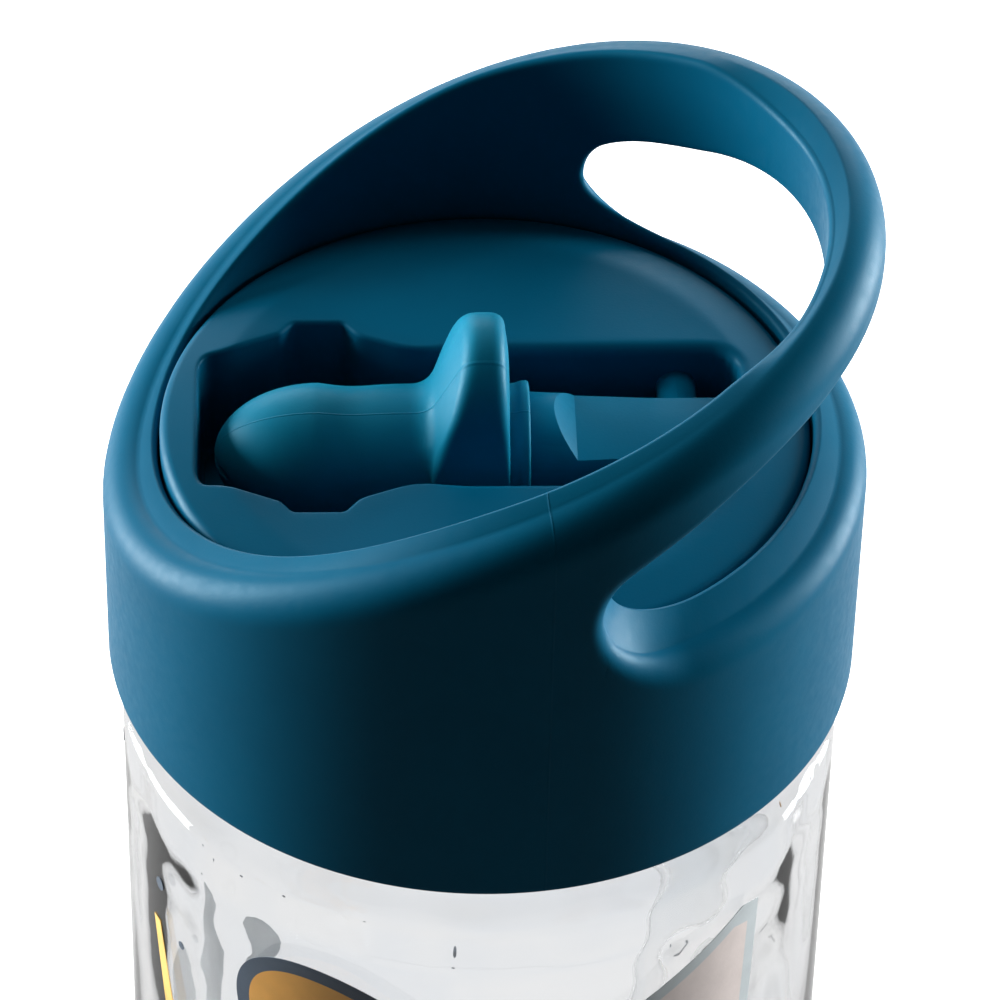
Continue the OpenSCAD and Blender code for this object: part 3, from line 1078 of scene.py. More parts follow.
@dataclass
class Mouthpiece:
    """The soft bite valve, its sleeve and its thumb tab in one moulding.

    Lengths are in millimetres, along X from the bottle's axis and out from the spout's own axis.
    Every column round the spout has the same path. Near the top of the spout its crest rises into
    the tab, and elsewhere the crest sinks back into the sleeve.
    """

    axis_z: float
    tip: float
    end: float
    tab_height: float
    radius: float = 6.95
    widest: float = -16.3
    waist: float = -13.2
    tab_back: float = 2.3
    tab_back_top: float = 1.6
    tab_foot: float = -5.5
    tab_crown: float = -1.9
    tab_half: float = 7.2
    tab_round: float = 7.2
    hollow_r: float = 4.45
    hollow_tip: float = -12.05
    skin: float = 1.2
    passage_r: float = 2.4
    slit_width: float = 0.22
    slit_half: float = 3.4
    slit_depth: float = 0.7
    columns: int = 144

    def tab_reach(self, turn: float) -> float:
        """Distance from the spout's axis to the tab's outline.

        Args:
            turn: The direction, in radians from the top.

        Returns:
            The distance, or 0 below the axis.
        """
        s, c = abs(math.sin(turn)), math.cos(turn)
        mid_y, mid_z = self.tab_half - self.tab_round, self.tab_height - self.tab_round
        if c > 0.05:
            b = s * mid_y + c * mid_z
            free = b * b - (mid_y**2 + mid_z**2 - self.tab_round**2)
            t = b + math.sqrt(max(free, 0))
            if free > 0 and t * s >= mid_y and t * c >= mid_z:
                return t
            if self.tab_height / c * s < mid_y:
                return self.tab_height / c
        return min(self.tab_half / max(s, 1e-6), self.tab_height) if c > 0 else 0.0

    def column(self, turn: float) -> np.ndarray:
        """The path from the tip, over the tab, round the lip and back inside to the valve's skin.

        Args:
            turn: The column's direction, in radians from the top.

        Returns:
            Places along X and distances from the spout's axis.
        """
        sleeve = self.radius - 0.12
        rise = max(self.tab_reach(turn), sleeve + 0.02)
        share = (rise - sleeve) / (self.tab_height - sleeve)
        left = self.tab_foot + (self.tab_crown - self.tab_foot) * share
        right = self.tab_back + (self.tab_back_top - self.tab_back) * share
        blend = min(1.0, 4 * share)
        foot_r, crown_r = 0.5 + 1.3 * blend, 0.4 + 1.0 * blend
        dome = [(self.widest - (-self.tip + self.widest) * math.cos(a), self.radius * math.sin(a))
                for a in np.linspace(0.02, math.pi / 2, 26)]
        side = rounded_path(
            [dome[-1], (self.waist, self.radius - 0.42), (-9.5, sleeve), (self.tab_foot, sleeve),
             (left, rise), (right, rise), (self.tab_back, 0.55 * sleeve + 0.45 * rise), (1.6, sleeve),
             (self.end - 1.4, sleeve), (self.end - 0.8, self.radius + 0.15), (self.end, self.radius + 0.15),
             (self.end, self.hollow_r), (self.hollow_tip, self.hollow_r), (self.hollow_tip, self.passage_r),
             (self.widest - 4, self.passage_r), (self.tip + self.skin, 0.4)],
            [0, 2.6, 2.0, foot_r, crown_r, crown_r, 1.5, foot_r, 0.5, 0.3, 0.35, 0.3, 0.3, 0.5, 2.0, 0], 6)
        return np.concatenate([np.array(dome)[:-1], side])

    def build(self) -> bpy.types.Object:
        """Build the mouthpiece as one closed solid, with a shallow dent where the valve is slit.

        Returns:
            The new object.
        """
        turns = np.linspace(0, 2 * math.pi, self.columns, endpoint=False)
        paths = np.stack([self.column(t) for t in turns], axis=1)
        x, r = paths[..., 0], paths[..., 1]
        y, z = -r * np.sin(turns), r * np.cos(turns)
        mouth = (np.exp(-(z / self.slit_width) ** 2) * smoothstep((self.slit_half - np.abs(y)) / 0.8)
                 * smoothstep((self.widest - 3 - x) / 2))
        outside = np.arange(len(x))[:, None] < len(x) // 3
        x = x + np.where(outside, self.slit_depth * mouth, 0)
        rows = np.stack([x, y, self.axis_z + z], axis=-1)
        shell = Shell()
        grid = shell.row_grid(rows)
        shell.close(grid[0], (self.tip + self.slit_depth, 0, self.axis_z))
        shell.close(grid[-1], (self.tip + self.skin, 0, self.axis_z))
        return shell.build("bite_valve_and_tab", None)


# --- bottle ----------------------------------------------------------------------------------


@dataclass
class Bottle:
    """The clear body with its shoulder, its neck and the thread that grows from the neck.

    Lengths are in millimetres.
    """

    height: float
    radius: float
    neck_r: float = 31.0
    neck_wall: float = 2.4
    wall: float = 2.4
    neck_h: float = 10.0
    push_up: float = 2.5
    push_up_r: float = 22.0
    foot_r: float = 26.5
    floor: float = 2.8
    pitch: float = 4.0
    turns: float = 1.25
    thread_h: float = 1.4
    thread_low: float = 3.2
    thread_row: float = 0.17
    ripple: float = 0.16
    waves: tuple = ((1.0, 7, 0.06, 0.0), (0.8, 13, -0.09, 1.3), (0.6, 23, 0.05, 2.1))
    columns: int = 240

    @property
    def lip_z(self) -> float:
        """Height of the neck's top."""
        return self.height + self.neck_h

    def outside(self) -> np.ndarray:
        """The outer wall's path.

        Returns:
            Radius and height from the base's centre to the foot of the neck.
        """
        return rounded_path(
            [(1, self.push_up), (self.push_up_r, self.push_up), (self.foot_r, 0), (self.radius, 0),
             (self.radius, self.height - 0.6), (self.neck_r, self.height - 0.6),
             (self.neck_r, self.height + 0.6)],
            [0, 4, 3, 7, 5.5, 0.7, 0], 10)

    def inside(self) -> np.ndarray:
        """The inner wall's path.

        Returns:
            Radius and height from the neck's top down to the floor's centre.
        """
        in_r, neck_in = self.radius - self.wall, self.neck_r - self.neck_wall
        path = rounded_path(
            [(self.neck_r - 0.6, self.lip_z), (neck_in, self.lip_z), (neck_in, self.height - 3.5),
             (in_r, self.height - 7.5), (in_r, self.floor), (self.foot_r, self.floor),
             (self.push_up_r, self.floor + self.push_up), (1, self.floor + self.push_up)],
            [0, 0.6, 4, 7, 6, 4, 4, 0], 10)
        return dense_path(path, 1.2)

    def neck(self, turn: np.ndarray) -> np.ndarray:
        """The neck's outer wall, with the thread raised from it.

        Args:
            turn: The columns' angles.

        Returns:
            Points as (row, column, xyz).
        """
        z = np.arange(self.height + 0.8, self.lip_z - 0.5, self.thread_row)
        z = np.concatenate([z, [self.lip_z - 0.5, self.lip_z - 0.2]])[:, None]
        raised = np.zeros((len(z), len(turn)))
        for lap in range(3):
            along = turn / (2 * math.pi) + lap
            centre = self.height + self.thread_low + self.pitch * along
            fade = smoothstep(along / 0.04) * smoothstep((self.turns - along) / 0.04)
            side = (0.75 - np.abs(z - centre)) / 0.4
            raised = np.maximum(raised, smoothstep(side) * fade * self.thread_h)
        r = self.neck_r + raised - np.where(z > self.lip_z - 0.3, 0.15, 0)
        return np.stack([r * np.cos(turn), r * np.sin(turn), np.broadcast_to(z, r.shape)], axis=-1)

    def thinning(self, rows: np.ndarray) -> np.ndarray:
        """The slow moulded waves of the inner wall, strongest below the shoulder.

        Each of the waves has a height, laps round the bottle, a climb for each millimetre and a start.

        Args:
            rows: The smooth inner wall's points as (row, column, xyz).

        Returns:
            The scale for each point's X, Y and Z.
        """
        turn, z = np.arctan2(rows[..., 1], rows[..., 0]), rows[..., 2]
        below = self.height - 6 - z
        near = np.exp(-np.clip(below, 0, None) / 22) * smoothstep((below + 4) / 6)
        wave = sum(size * np.sin(laps * turn + climb * z + start)
                   for size, laps, climb, start in self.waves)
        ripple = np.sin(2 * math.pi * below / 6.5) * np.exp(-np.clip(below, 0, None) / 9)
        depth = near * (self.ripple * wave + 1.3 * self.ripple * ripple) + 0.25 * self.ripple * wave
        depth = depth * smoothstep((z - 12) / 10) * smoothstep((self.height - 4 - z) / 4)
        scale = 1 + depth / self.radius
        return np.stack([scale, scale, np.ones_like(scale)], axis=-1)

    def build(self) -> bpy.types.Object:
        """Build the bottle as one closed, thick-walled solid.

        Returns:
            The new object.
        """
        turn = np.linspace(0, 2 * math.pi, self.columns, endpoint=False)
        inner = spun(self.inside(), turn)
        rows = np.concatenate([spun(self.outside(), turn), self.neck(turn), inner * self.thinning(inner)])
        shell = Shell()
        grid = shell.row_grid(rows)
        shell.close(grid[0], (0, 0, self.push_up))
        shell.close(grid[-1], (0, 0, self.floor + self.push_up))
        return shell.build("clear_bottle", None)


class InkColour(Enum):
    """The print's colours, each as linear red, green and blue."""

    AMBER = (0.82, 0.42, 0.10)
    SLATE = (0.085, 0.115, 0.155)
    BLUSH = (0.76, 0.68, 0.65)
    MIST = (0.54, 0.60, 0.62)
    YELLOW = (0.90, 0.58, 0.16)


@dataclass
class Decal:
    """A thin printed patch that follows the bottle's side.

    Its outline is laid out flat, as millimetres round the bottle from the patch's centre and
    millimetres up, and then wrapped on the cylinder.
    """

    name: str
    outline: np.ndarray
    ink: InkColour
    azimuth_deg: float
    height: float
    radius: float
    hole: np.ndarray | None = None
    lift: float = 0.03
    film: float = 0.06
    rings: int = 7

    def build(self) -> bpy.types.Object:
        """Build the patch as one closed film.

        Returns:
            The new object.
        """
        centre = self.outline.mean(0)
        if self.hole is None:
            loops = [centre + (self.outline - centre) * (1 - k / self.rings) for k in range(self.rings)]
        else:
            loops = [self.outline + (self.hole - self.outline) * t for t in (0, 0.5, 1)]
        shell = Shell()
        top = shell.row_grid(self.wrap(loops, self.lift + self.film))
        base = shell.row_grid(self.wrap(loops, self.lift))
        shell.bridge(top[0], base[0])
        if self.hole is None:
            shell.close(top[-1], tuple(self.wrap([centre[None]], self.lift + self.film)[0, 0]))
            shell.close(base[-1], tuple(self.wrap([centre[None]], self.lift)[0, 0]))
        else:
            shell.bridge(top[-1], base[-1])
        return shell.build(self.name, 30)

    def wrap(self, loops: list[np.ndarray], out: float) -> np.ndarray:
        """Wrap flat loops on the bottle's side.

        Args:
            loops: Loops of the same length, flat, in millimetres.
            out: How far out from the side they lie.

        Returns:
            Points as (loop, column, xyz).
        """
        flat = np.array(loops)
        turn = math.radians(self.azimuth_deg) + flat[..., 0] / self.radius
        r = self.radius + out
        return np.stack([r * np.cos(turn), r * np.sin(turn), self.height + flat[..., 1]], axis=-1)


def ellipse(width: float, height: float, tilt_deg: float = 0.0, count: int = 96) -> np.ndarray:
    """An ellipse's outline.

    Args:
        width: Its full width before it is tilted.
        height: Its full height before it is tilted.
        tilt_deg: Its tilt, in degrees.
        count: Number of points.

    Returns:
        The outline's points.
    """
    a = np.linspace(0, 2 * math.pi, count, endpoint=False)
    flat = np.stack([width / 2 * np.cos(a), height / 2 * np.sin(a)], axis=-1)
    c, s = math.cos(math.radians(tilt_deg)), math.sin(math.radians(tilt_deg))
    return flat @ np.array([[c, s], [-s, c]])


def panel(corners: list[tuple[float, float]], inset: float = 0.0, spacing: float = 0.6) -> np.ndarray:
    """A straight-sided outline with closely spaced points.

    Args:
        corners: The corner points.
        inset: How far the outline is drawn in towards its middle.
        spacing: The longest stretch between two points.

    Returns:
        The outline's points.
    """
    pts = np.array(corners, float)
    middle = pts.mean(0)
    loop = dense_path(np.concatenate([pts, pts[:1]]), spacing)[:-1]
    away = loop - middle
    return middle + away * (1 - inset / np.hypot(*away.T).mean())


# --- repeated pieces, made by node trees --------------------------------------------------------


class Tree:
    """A short way to build a geometry tree with named inputs."""

    def __init__(self, name: str, **inputs: tuple[str, object]) -> None:
        """Start a tree.

        Args:
            name: The tree's name.
            inputs: For each named input, its socket type and its value.
        """
        self.tree = bpy.data.node_groups.new(name, "GeometryNodeTree")
        self.values = {}
        for key, (kind, value) in inputs.items():
            socket = self.tree.interface.new_socket(key, in_out="INPUT", socket_type=kind)
            self.values[socket.identifier] = value
        self.tree.interface.new_socket("Geometry", in_out="OUTPUT", socket_type="NodeSocketGeometry")
        self.given = self.tree.nodes.new("NodeGroupInput").outputs
        self.result = self.tree.nodes.new("NodeGroupOutput").inputs["Geometry"]

    def add(self, kind: str, wires: dict | None = None, **settings: object) -> bpy.types.Node:
        """Add a node.

        Args:
            kind: The node's type.
            wires: For each input, by name or number, a socket to link or a plain value.
            settings: Properties of the node itself.

        Returns:
            The new node.
        """
        node = self.tree.nodes.new(kind)
        for key, value in settings.items():
            setattr(node, key, value)
        for key, value in (wires or {}).items():
            if isinstance(value, bpy.types.NodeSocket):
                self.tree.links.new(value, node.inputs[key])
            else:
                node.inputs[key].default_value = value
        return node

    def math(self, kind: str, a: object, b: object = 0.0) -> bpy.types.NodeSocket:
        """One arithmetic step.

        Args:
            kind: The operation.
            a: Its first term, a socket or a number.
            b: Its second term.

        Returns:
            The result.
        """
        return self.add("ShaderNodeMath", {0: a, 1: b}, operation=kind).outputs[0]

    def make(self, name: str, geometry: bpy.types.NodeSocket,
             material: bpy.types.Material) -> bpy.types.Object:
        """Finish the tree and turn its result into a plain mesh object.

        Args:
            name: The object's name.
            geometry: The tree's result.
            material: The finish that all of it takes.

        Returns:
            The new object.
        """
        real = self.add("GeometryNodeRealizeInstances", {"Geometry": geometry})
        dressed = self.add("GeometryNodeSetMaterial", {"Geometry": real.outputs[0], "Material": material})
        self.tree.links.new(dressed.outputs[0], self.result)
        obj = bpy.data.objects.new(name, bpy.data.meshes.new(name))
        bpy.context.scene.collection.objects.link(obj)
        modifier = obj.modifiers.new("nodes", "NODES")
        modifier.node_group = self.tree
        for identifier, value in self.values.items():
            modifier[identifier] = value
        return settled(obj, None)


@dataclass(frozen=True)
class PrintedDots:
    """Small printed dots scattered over the bottle's side."""

    radius: float
    low: float
    high: float
    count: int = 46
    seed: int = 11
    size: float = 0.00062
    depth: float = 0.00007
    sides: int = 20
    spread: tuple[float, float] = (0.7, 1.3)

    def build(self, material: bpy.types.Material) -> bpy.types.Object:
        """Build every dot as one mesh.

        Args:
            material: The dots' ink.

        Returns:
            The new object.
        """
        t = Tree("printed_dots", Count=("NodeSocketInt", self.count),
                 Radius=("NodeSocketFloat", self.radius), Low=("NodeSocketFloat", self.low),
                 High=("NodeSocketFloat", self.high),
                 Seed=("NodeSocketInt", self.seed), Size=("NodeSocketFloat", self.size))
        give = t.given

        def chance(low: object, high: object, offset: int) -> bpy.types.NodeSocket:
            """A random number for each dot.

            Args:
                low: The least value.
                high: The greatest value.
                offset: Added to the seed, so that each use differs.

            Returns:
                The random number.
            """
            seed = t.math("ADD", give["Seed"], float(offset))
            return t.add("FunctionNodeRandomValue", {2: low, 3: high, "Seed": seed}).outputs[1]

        turn = chance(0.0, 2 * math.pi, 0)
        cos, sin = t.math("COSINE", turn), t.math("SINE", turn)
        place = t.add("ShaderNodeCombineXYZ", {0: t.math("MULTIPLY", cos, give["Radius"]),
                                               1: t.math("MULTIPLY", sin, give["Radius"]),
                                               2: chance(give["Low"], give["High"], 1)})
        points = t.add("GeometryNodePoints", {"Count": give["Count"], "Position": place.outputs[0]})
        out = t.add("ShaderNodeCombineXYZ", {0: cos, 1: sin, 2: 0.0})
        face = t.add("FunctionNodeAlignRotationToVector", {"Vector": out.outputs[0]}, axis="Z")
        dot = t.add("GeometryNodeMeshCylinder", {"Vertices": self.sides, "Radius": give["Size"],
                                                 "Depth": self.depth})
        stretch = t.add("ShaderNodeCombineXYZ", {
            0: chance(*self.spread, 2), 1: chance(*self.spread, 3), 2: 1.0})
        placed = t.add("GeometryNodeInstanceOnPoints", {
            "Points": points.outputs[0], "Instance": dot.outputs[0], "Rotation": face.outputs[0],
            "Scale": stretch.outputs[0]})
        return t.make("printed_dots", placed.outputs[0], material)


@dataclass(frozen=True)
class LidThread:
    """The ridge inside the skirt that runs in the neck's thread."""

    radius: float
    low: float
    pitch: float = 0.004
    turns: float = 1.25
    ridge: float = 0.0011

    def build(self, material: bpy.types.Material) -> bpy.types.Object:
        """Build the ridge as one closed mesh.

        Args:
            material: The lid's finish.

        Returns:
            The new object.
        """
        t = Tree("lid_thread", Radius=("NodeSocketFloat", self.radius), Low=("NodeSocketFloat", self.low),
                 Pitch=("NodeSocketFloat", self.pitch), Turns=("NodeSocketFloat", self.turns),
                 Ridge=("NodeSocketFloat", self.ridge))
        give = t.given
        spiral = t.add("GeometryNodeCurveSpiral", {
            "Resolution": 96, "Rotations": give["Turns"], "Start Radius": give["Radius"],
            "End Radius": give["Radius"], "Height": t.math("MULTIPLY", give["Pitch"], give["Turns"])})
        profile = t.add("GeometryNodeCurvePrimitiveCircle", {"Resolution": 12, "Radius": give["Ridge"]})
        ridge = t.add("GeometryNodeCurveToMesh", {
            "Curve": spiral.outputs[0], "Profile Curve": profile.outputs[0], "Fill Caps": True})
        lift = t.add("ShaderNodeCombineXYZ", {0: 0.0, 1: 0.0, 2: give["Low"]})
        raised = t.add("GeometryNodeTransform", {
            "Geometry": ridge.outputs[0], "Translation": lift.outputs[0]})
        return t.make("lid_thread", raised.outputs[0], material)


# --- the whole object ------------------------------------------------------------------------


@dataclass
class BottleAssembly:
    """The bottle and its prints. A print that lies over another stands over_lift off the wall."""

    low: Vector
    high: Vector
    lid_low: float
    over_lift: float = 0.1

    def build(self) -> None:
        """Build and dress the body and what is printed on it."""
        radius = self.high.x / MM
        body = Bottle(height=self.lid_low / MM, radius=radius).build()
        dress(body, ClearPlastic().make(), "bottle", "clear_plastic", "bottle_body")
        self.prints(radius)

    def prints(self, radius: float) -> None:
        """Build the generic printed shapes.

        Args:
            radius: The bottle's radius, in millimetres.
        """
        inks = {ink: Ink(f"ink_{ink.name.lower()}", ink.value).make() for ink in InkColour}
        badge_at, panel_at, block_at = (247, 102.6), (303, 102.5), (62, 112)
        badge, field_edge = ellipse(27, 20, -32), ellipse(23.6, 16.6, -32)
        bar = [(-5, 1.6), (5.5, -4.6), (4.6, -6.6), (-5.9, -0.4)]
        shield = [(-9.5, 4.6), (7.4, 13.2), (9.8, 12.6), (8.6, -14), (-11, -14)]
        bolt = [(-1.2, 12), (0.2, 12), (2.6, 2), (1.6, -12), (0.2, -12), (1.2, 1.8)]
        block = [(-7, 10), (7, 12), (8, -9), (-6, -11)]
        block_bar = [(-1.1, 10), (1.2, 10), (1.6, -9), (-0.7, -9)]
        panel_low = [(-8, 10), (9, 7), (7, -10), (-10, -7)]
        panel_foot = [(-9, 8), (8, 10), (10, -8), (-7, -10)]
        mirrored_bolt = [(-x, z) for x, z in bolt][::-1]
        amber, slate, blush, mist, yellow = (
            InkColour.AMBER, InkColour.SLATE, InkColour.BLUSH, InkColour.MIST, InkColour.YELLOW)
        pieces = [
            Decal("badge_rim", badge, slate, *badge_at, radius, hole=field_edge),
            Decal("badge_field", field_edge, amber, *badge_at, radius),
            Decal("badge_bar", panel(bar), slate, *badge_at, radius, lift=self.over_lift),
            Decal("panel_rim", panel(shield), mist, *panel_at, radius, hole=panel(shield, 2.2)),
            Decal("panel_field", panel(shield, 2.2), blush, *panel_at, radius),
            Decal("bolt_left", panel(bolt), yellow, 206, 92, radius),
            Decal("block_rear", panel(block), amber, *block_at, radius),
            Decal("block_rear_bar", panel(block_bar), slate, *block_at, radius, lift=self.over_lift),
            Decal("panel_low", panel(panel_low), mist, 150, 62, radius),
            Decal("badge_low", ellipse(20, 20), amber, 330, 48, radius),
            Decal("bolt_low", panel(mirrored_bolt), yellow, 20, 52, radius),
            Decal("panel_foot", panel(panel_foot), blush, 215, 42, radius),
        ]
        for piece in pieces:
            dress_print(piece.build(), inks[piece.ink])
        dots = PrintedDots(radius=(radius + 0.04) * MM, low=0.02, high=self.lid_low - 0.008)
        dress_print(dots.build(inks[InkColour.SLATE]), inks[InkColour.SLATE])


def dress_print(obj: bpy.types.Object, ink: bpy.types.Material) -> None:
    """Give a printed patch its ink and let it ride on the bottle.

    Args:
        obj: The patch.
        ink: Its ink.
    """
    obj.data.materials.clear()
    obj.data.materials.append(ink)
    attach(obj, "bottle")
    log.info("%s: printed on the bottle", obj.name)


@dataclass
class LidAssembly:
    """The lid's shell, deck, seals, air valve and straw."""

    seam_deg: float = -82.0
    bore_r: float = 3.02
    nipple_r: float = 3.0
    nipple_hole_r: float = 2.0
    nipple_top: float = 0.9
    nipple_foot: float = -10.9
    gasket_band: float = 3.6

    def build(self) -> None:
        """Build and dress every piece that turns with the lid."""
        cap_low, cap_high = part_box("lid_cap")
        deck_low, deck_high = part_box("lid_deck")
        low_z = cap_low.z / MM
        teal = MouldedTeal(seam_deg=self.seam_deg).make()
        plain = MouldedTeal(name="teal_plastic_insert", roughness=(0.36, 0.48)).make()
        ring = LidRing(low_z=low_z, radius=cap_high.x / MM, crest_high=(cap_high.z - cap_low.z) / MM)
        dress(ring.build(), teal, "lid", "teal_plastic", "lid_cap")
        deck = LidDeck(top_z=deck_high.z / MM, low_z=deck_low.z / MM, radius=deck_high.x / MM)
        dress(deck.build(), plain, "lid", "teal_plastic", "lid_deck")
        thread = LidThread(radius=ring.skirt_in_r * MM, low=cap_low.z + 0.0012)
        dress(thread.build(plain), plain, "lid", "teal_plastic", "lid_cap")
        self.tubes(plain)
        self.seals()

    def tubes(self, teal: bpy.types.Material) -> None:
        """Build the nipple under the web and the straw that is pushed on it.

        Args:
            teal: The nipple's finish.
        """
        low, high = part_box("straw")
        x, r = (low.x + high.x) / 2 / MM, (high.x - low.x) / 2 / MM
        z0, z1 = low.z / MM, high.z / MM
        hole, out = self.nipple_hole_r, self.nipple_r
        top, foot = z1 + self.nipple_top, z1 + self.nipple_foot
        nipple = rounded_path([(hole, top), (out, top), (out, foot), (hole, foot), (hole, top)],
                              [0, 0.1, 0.4, 0.2, 0], 3)
        dress(turned("straw_nipple", nipple, 48, (x, 0)), teal, "lid", "teal_plastic", "lid_cap")
        bore = self.bore_r
        tube = rounded_path([(bore, z0 + 0.3), (3.2, z0), (r - 0.2, z0), (r - 0.08, z0 + 1),
                             (r - 0.08, z1 - 13), (r, z1 - 11), (r, z1), (bore, z1), (bore, z0 + 0.3)],
                            [0, 0.2, 0.3, 0.3, 0.6, 0.6, 0.3, 0.2, 0], 4)
        frosted = ClearPlastic(name="frosted_plastic", tint=(0.93, 0.95, 0.96), roughness=0.12,
                               wave=0.00005)
        dress(turned("straw_tube", tube, 64, (x, 0)), frosted.make(), "lid", "frosted_plastic", "straw")

    def seals(self) -> None:
        """Build the neck gasket, the hinge's seal and the air valve."""
        milky = SoftSilicone(name="milky_silicone", deep=(0.62, 0.65, 0.66), light=(0.74, 0.76, 0.77),
                             scatter=0.25, shine=(1.0, 1.0, 1.0, 1.0), seam=False).make()
        low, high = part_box("lid_gasket")
        r1, z0, z1 = high.x / MM, low.z / MM, high.z / MM
        r0, middle = r1 - self.gasket_band, (z0 + z1) / 2
        path = rounded_path([(r0, middle), (r0, z0), (r1, z0), (r1, z1), (r0, z1), (r0, middle)],
                            [0, 0.3, 0.3, 0.3, 0.3, 0], 4)
        dress(turned("neck_gasket", path, 160), milky, "gasket", "milky_silicone", "lid_gasket")
        for node, name in (("pivot_seal", "hinge_seal"), ("vent_valve", "air_valve")):
            dress(softened(node, name, 0.12), milky, "lid", "milky_silicone", node)


@dataclass
class SpoutAssembly:
    """The rigid arm and the soft mouthpiece that turn about the hinge."""

    def build(self) -> None:
        """Build and dress both pieces."""
        low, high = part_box("mouthpiece")
        arm_low, arm_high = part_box("spout_arm")
        axis_z = (arm_low.z + arm_high.z) / 2
        # The arm's teal is the lid's teal painted lighter. This is painted light for the overhead light
        # that the arm gets too little of down in the pocket.
        teal = MouldedTeal(name="teal_plastic_arm_painted_lighter", deep=(0.0, 0.11, 0.205), light=(0.0, 0.13, 0.235),
                           roughness=(0.36, 0.46)).make()
        dress(softened("spout_arm", "rigid_arm", 0.45), teal, "spout", "teal_plastic", "spout_arm")
        mouth = Mouthpiece(axis_z=axis_z / MM, tip=low.x / MM, end=high.x / MM,
                           tab_height=(high.z - axis_z) / MM)
        silicone = SoftSilicone(axis_z=axis_z).make()
        dress(mouth.build(), silicone, "spout", "teal_silicone", "mouthpiece")


# --- studio ----------------------------------------------------------------------------------


@dataclass(frozen=True)
class Softbox:
    """One large soft light that faces the lid."""

    name: str
    place: tuple[float, float, float]
    size: tuple[float, float]
    power: float
    colour: tuple = (1.0, 1.0, 1.0)

    def add(self, target: Vector) -> None:
        """Add the light, turned to face the target.

        Args:
            target: The point that it faces.
        """
        light = bpy.data.lights.new(self.name, "AREA")
        light.shape = "RECTANGLE"
        light.size, light.size_y = self.size
        light.energy = self.power
        light.color = self.colour
        obj = bpy.data.objects.new(self.name, light)
        obj.location = self.place
        obj.rotation_euler = (target - Vector(self.place)).to_track_quat("-Z", "Y").to_euler()
        bpy.context.scene.collection.objects.link(obj)


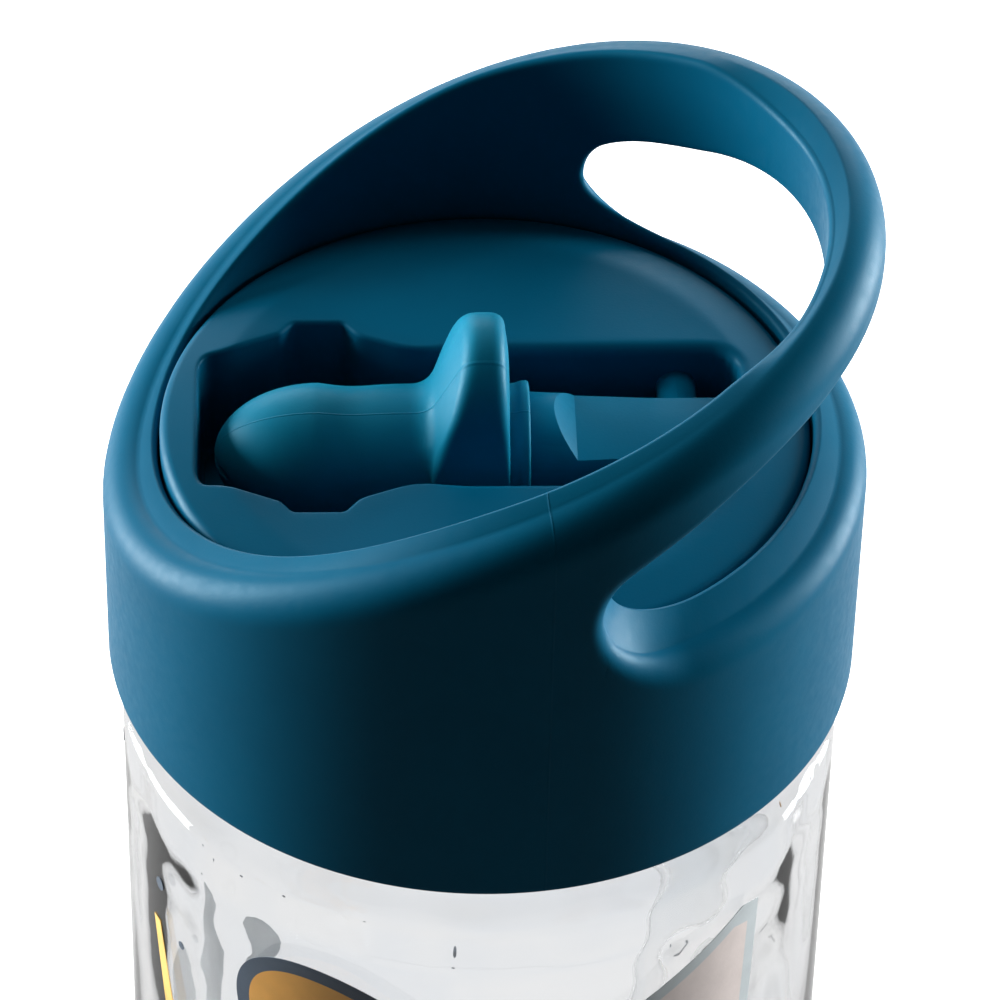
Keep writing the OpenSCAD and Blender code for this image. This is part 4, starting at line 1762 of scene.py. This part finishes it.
@dataclass(frozen=True)
class Studio:
    """A plain pale floor, soft lights and the camera."""

    lid_low: float
    eye: tuple[float, float, float] = (0.001622, -0.404219, 0.380632)
    yaw_deg: float = -2.5
    pitch_deg: float = 41.94
    roll_deg: float = 1.36
    lens: float = 198.0
    sensor: float = 36.0
    floor_half: float = 4000.0
    room_light: float = 0.05
    room_through: float = 0.42

    def camera(self) -> None:
        """Add the camera, which looks down along +Y at the lid."""
        data = bpy.data.cameras.new("camera")
        data.lens, data.sensor_width = self.lens, self.sensor
        data.clip_start, data.clip_end = 0.05, 50.0
        pitch, roll = math.radians(self.pitch_deg), math.radians(self.roll_deg)
        ahead = Vector((0, math.cos(pitch), -math.sin(pitch)))
        right = Vector((1, 0, 0))
        up = right.cross(ahead)
        side = right * math.cos(roll) + up * math.sin(roll)
        top = up * math.cos(roll) - right * math.sin(roll)
        obj = bpy.data.objects.new("camera", data)
        turn = Matrix((side, top, -ahead)).transposed().to_4x4()
        yaw = Matrix.Rotation(math.radians(self.yaw_deg), 4, "Z")
        obj.matrix_world = yaw @ Matrix.Translation(Vector(self.eye) + Vector((0, 0, self.lid_low))) @ turn
        bpy.context.scene.collection.objects.link(obj)
        bpy.context.scene.camera = obj

    def floor(self) -> None:
        """Add the floor."""
        shell = Shell()
        half = self.floor_half
        corners = [[(-half, -half, 0), (half, -half, 0)], [(-half, half, 0), (half, half, 0)]]
        shell.row_grid(np.array(corners), False)
        obj = shell.build("floor")
        obj.data.materials.append(self.floor_finish())

    def floor_finish(self) -> bpy.types.Material:
        """Matt white, with a glow that keeps it evenly pale and that weakens where it only lights. Seen
        through the clear bottle the glow fades away from the middle, which paints shade along the bottle's
        sides.

        Returns:
            The finished material.
        """
        n = Nodes("floor")
        n.put(Roughness=0.9, Specular_IOR_Level=0.0, Emission_Color=(1, 1, 1, 1))
        path = n.tree.nodes.new("ShaderNodeLightPath").outputs
        x, y, _ = n.axes()
        behind = n.span(y, 0.0, 1.0, -0.02, 0.25)
        mirrored = n.math("SUBTRACT", path["Is Glossy Ray"], path["Is Transmission Ray"])
        glossy = n.math("MULTIPLY", n.math("MAXIMUM", mirrored, 0.0), behind)
        diffuse = n.math("MULTIPLY", path["Is Diffuse Ray"], n.math("MULTIPLY", behind, 0.3))
        reach = n.math("SQRT", n.math("ADD", n.math("MULTIPLY", x, x), n.math("MULTIPLY", y, y)))
        # Seen through the bottle the glow is weaker farther from the middle: painted shade on the bottle's
        # sides.
        through = n.math("MULTIPLY", path["Is Transmission Ray"], n.span(reach, 0.88, 0.3, 0.16, 0.75))
        paint = n.math("ADD", n.math("MULTIPLY", n.math("SUBTRACT", 1.0, path["Is Transmission Ray"]), 0.2),
                       n.math("MULTIPLY", path["Is Camera Ray"], 0.65))
        n.link(n.colours(paint, [(0.0, (0.0, 0.0, 0.0)), (1.0, (1.0, 1.0, 1.0))]), "Base Color")
        plain = n.math("MAXIMUM", n.math("MULTIPLY", path["Is Camera Ray"], 0.82), through)
        glow = n.math("ADD", plain, n.math("ADD", glossy, diffuse))
        n.link(glow, "Emission Strength")
        return n.material

    def lights(self) -> None:
        """Add the soft lights and the faint light of the room."""
        target = Vector((0, 0, self.lid_low + 0.02))
        for box in (Softbox("overhead", (-0.12, 0.30, 0.85), (0.55, 0.45), 1.7),
                    Softbox("left_side", (-0.62, 0.26, 0.16), (0.30, 0.50), 15.0),
                    Softbox("right_side", (0.62, 0.26, 0.16), (0.30, 0.50), 15.0),
                    Softbox("behind", (0.0, 0.75, 0.32), (0.9, 0.35), 4.0)):
            box.add(target)
        world = bpy.data.worlds.new("room")
        world.use_nodes = True
        nodes, links = world.node_tree.nodes, world.node_tree.links
        strength = nodes.new("ShaderNodeMapRange")
        strength.inputs["To Min"].default_value = self.room_light
        strength.inputs["To Max"].default_value = self.room_through
        links.new(nodes.new("ShaderNodeLightPath").outputs["Is Transmission Ray"], strength.inputs["Value"])
        links.new(strength.outputs["Result"], nodes["Background"].inputs["Strength"])
        nodes["Background"].inputs["Color"].default_value = (1, 1, 1, 1)
        bpy.context.scene.world = world

    def build(self) -> None:
        """Set up the whole studio."""
        self.camera()
        self.floor()
        self.lights()
        bpy.context.scene.view_settings.view_transform = "Standard"


def main() -> None:
    """Build the studio and every assembly."""
    logging.basicConfig(level=logging.INFO, format="%(name)s: %(message)s")
    lid_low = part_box("lid_cap")[0].z
    Studio(lid_low=lid_low).build()
    BottleAssembly(*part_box("bottle_body"), lid_low=lid_low).build()
    LidAssembly().build()
    SpoutAssembly().build()


if __name__ == "__main__":
    main()
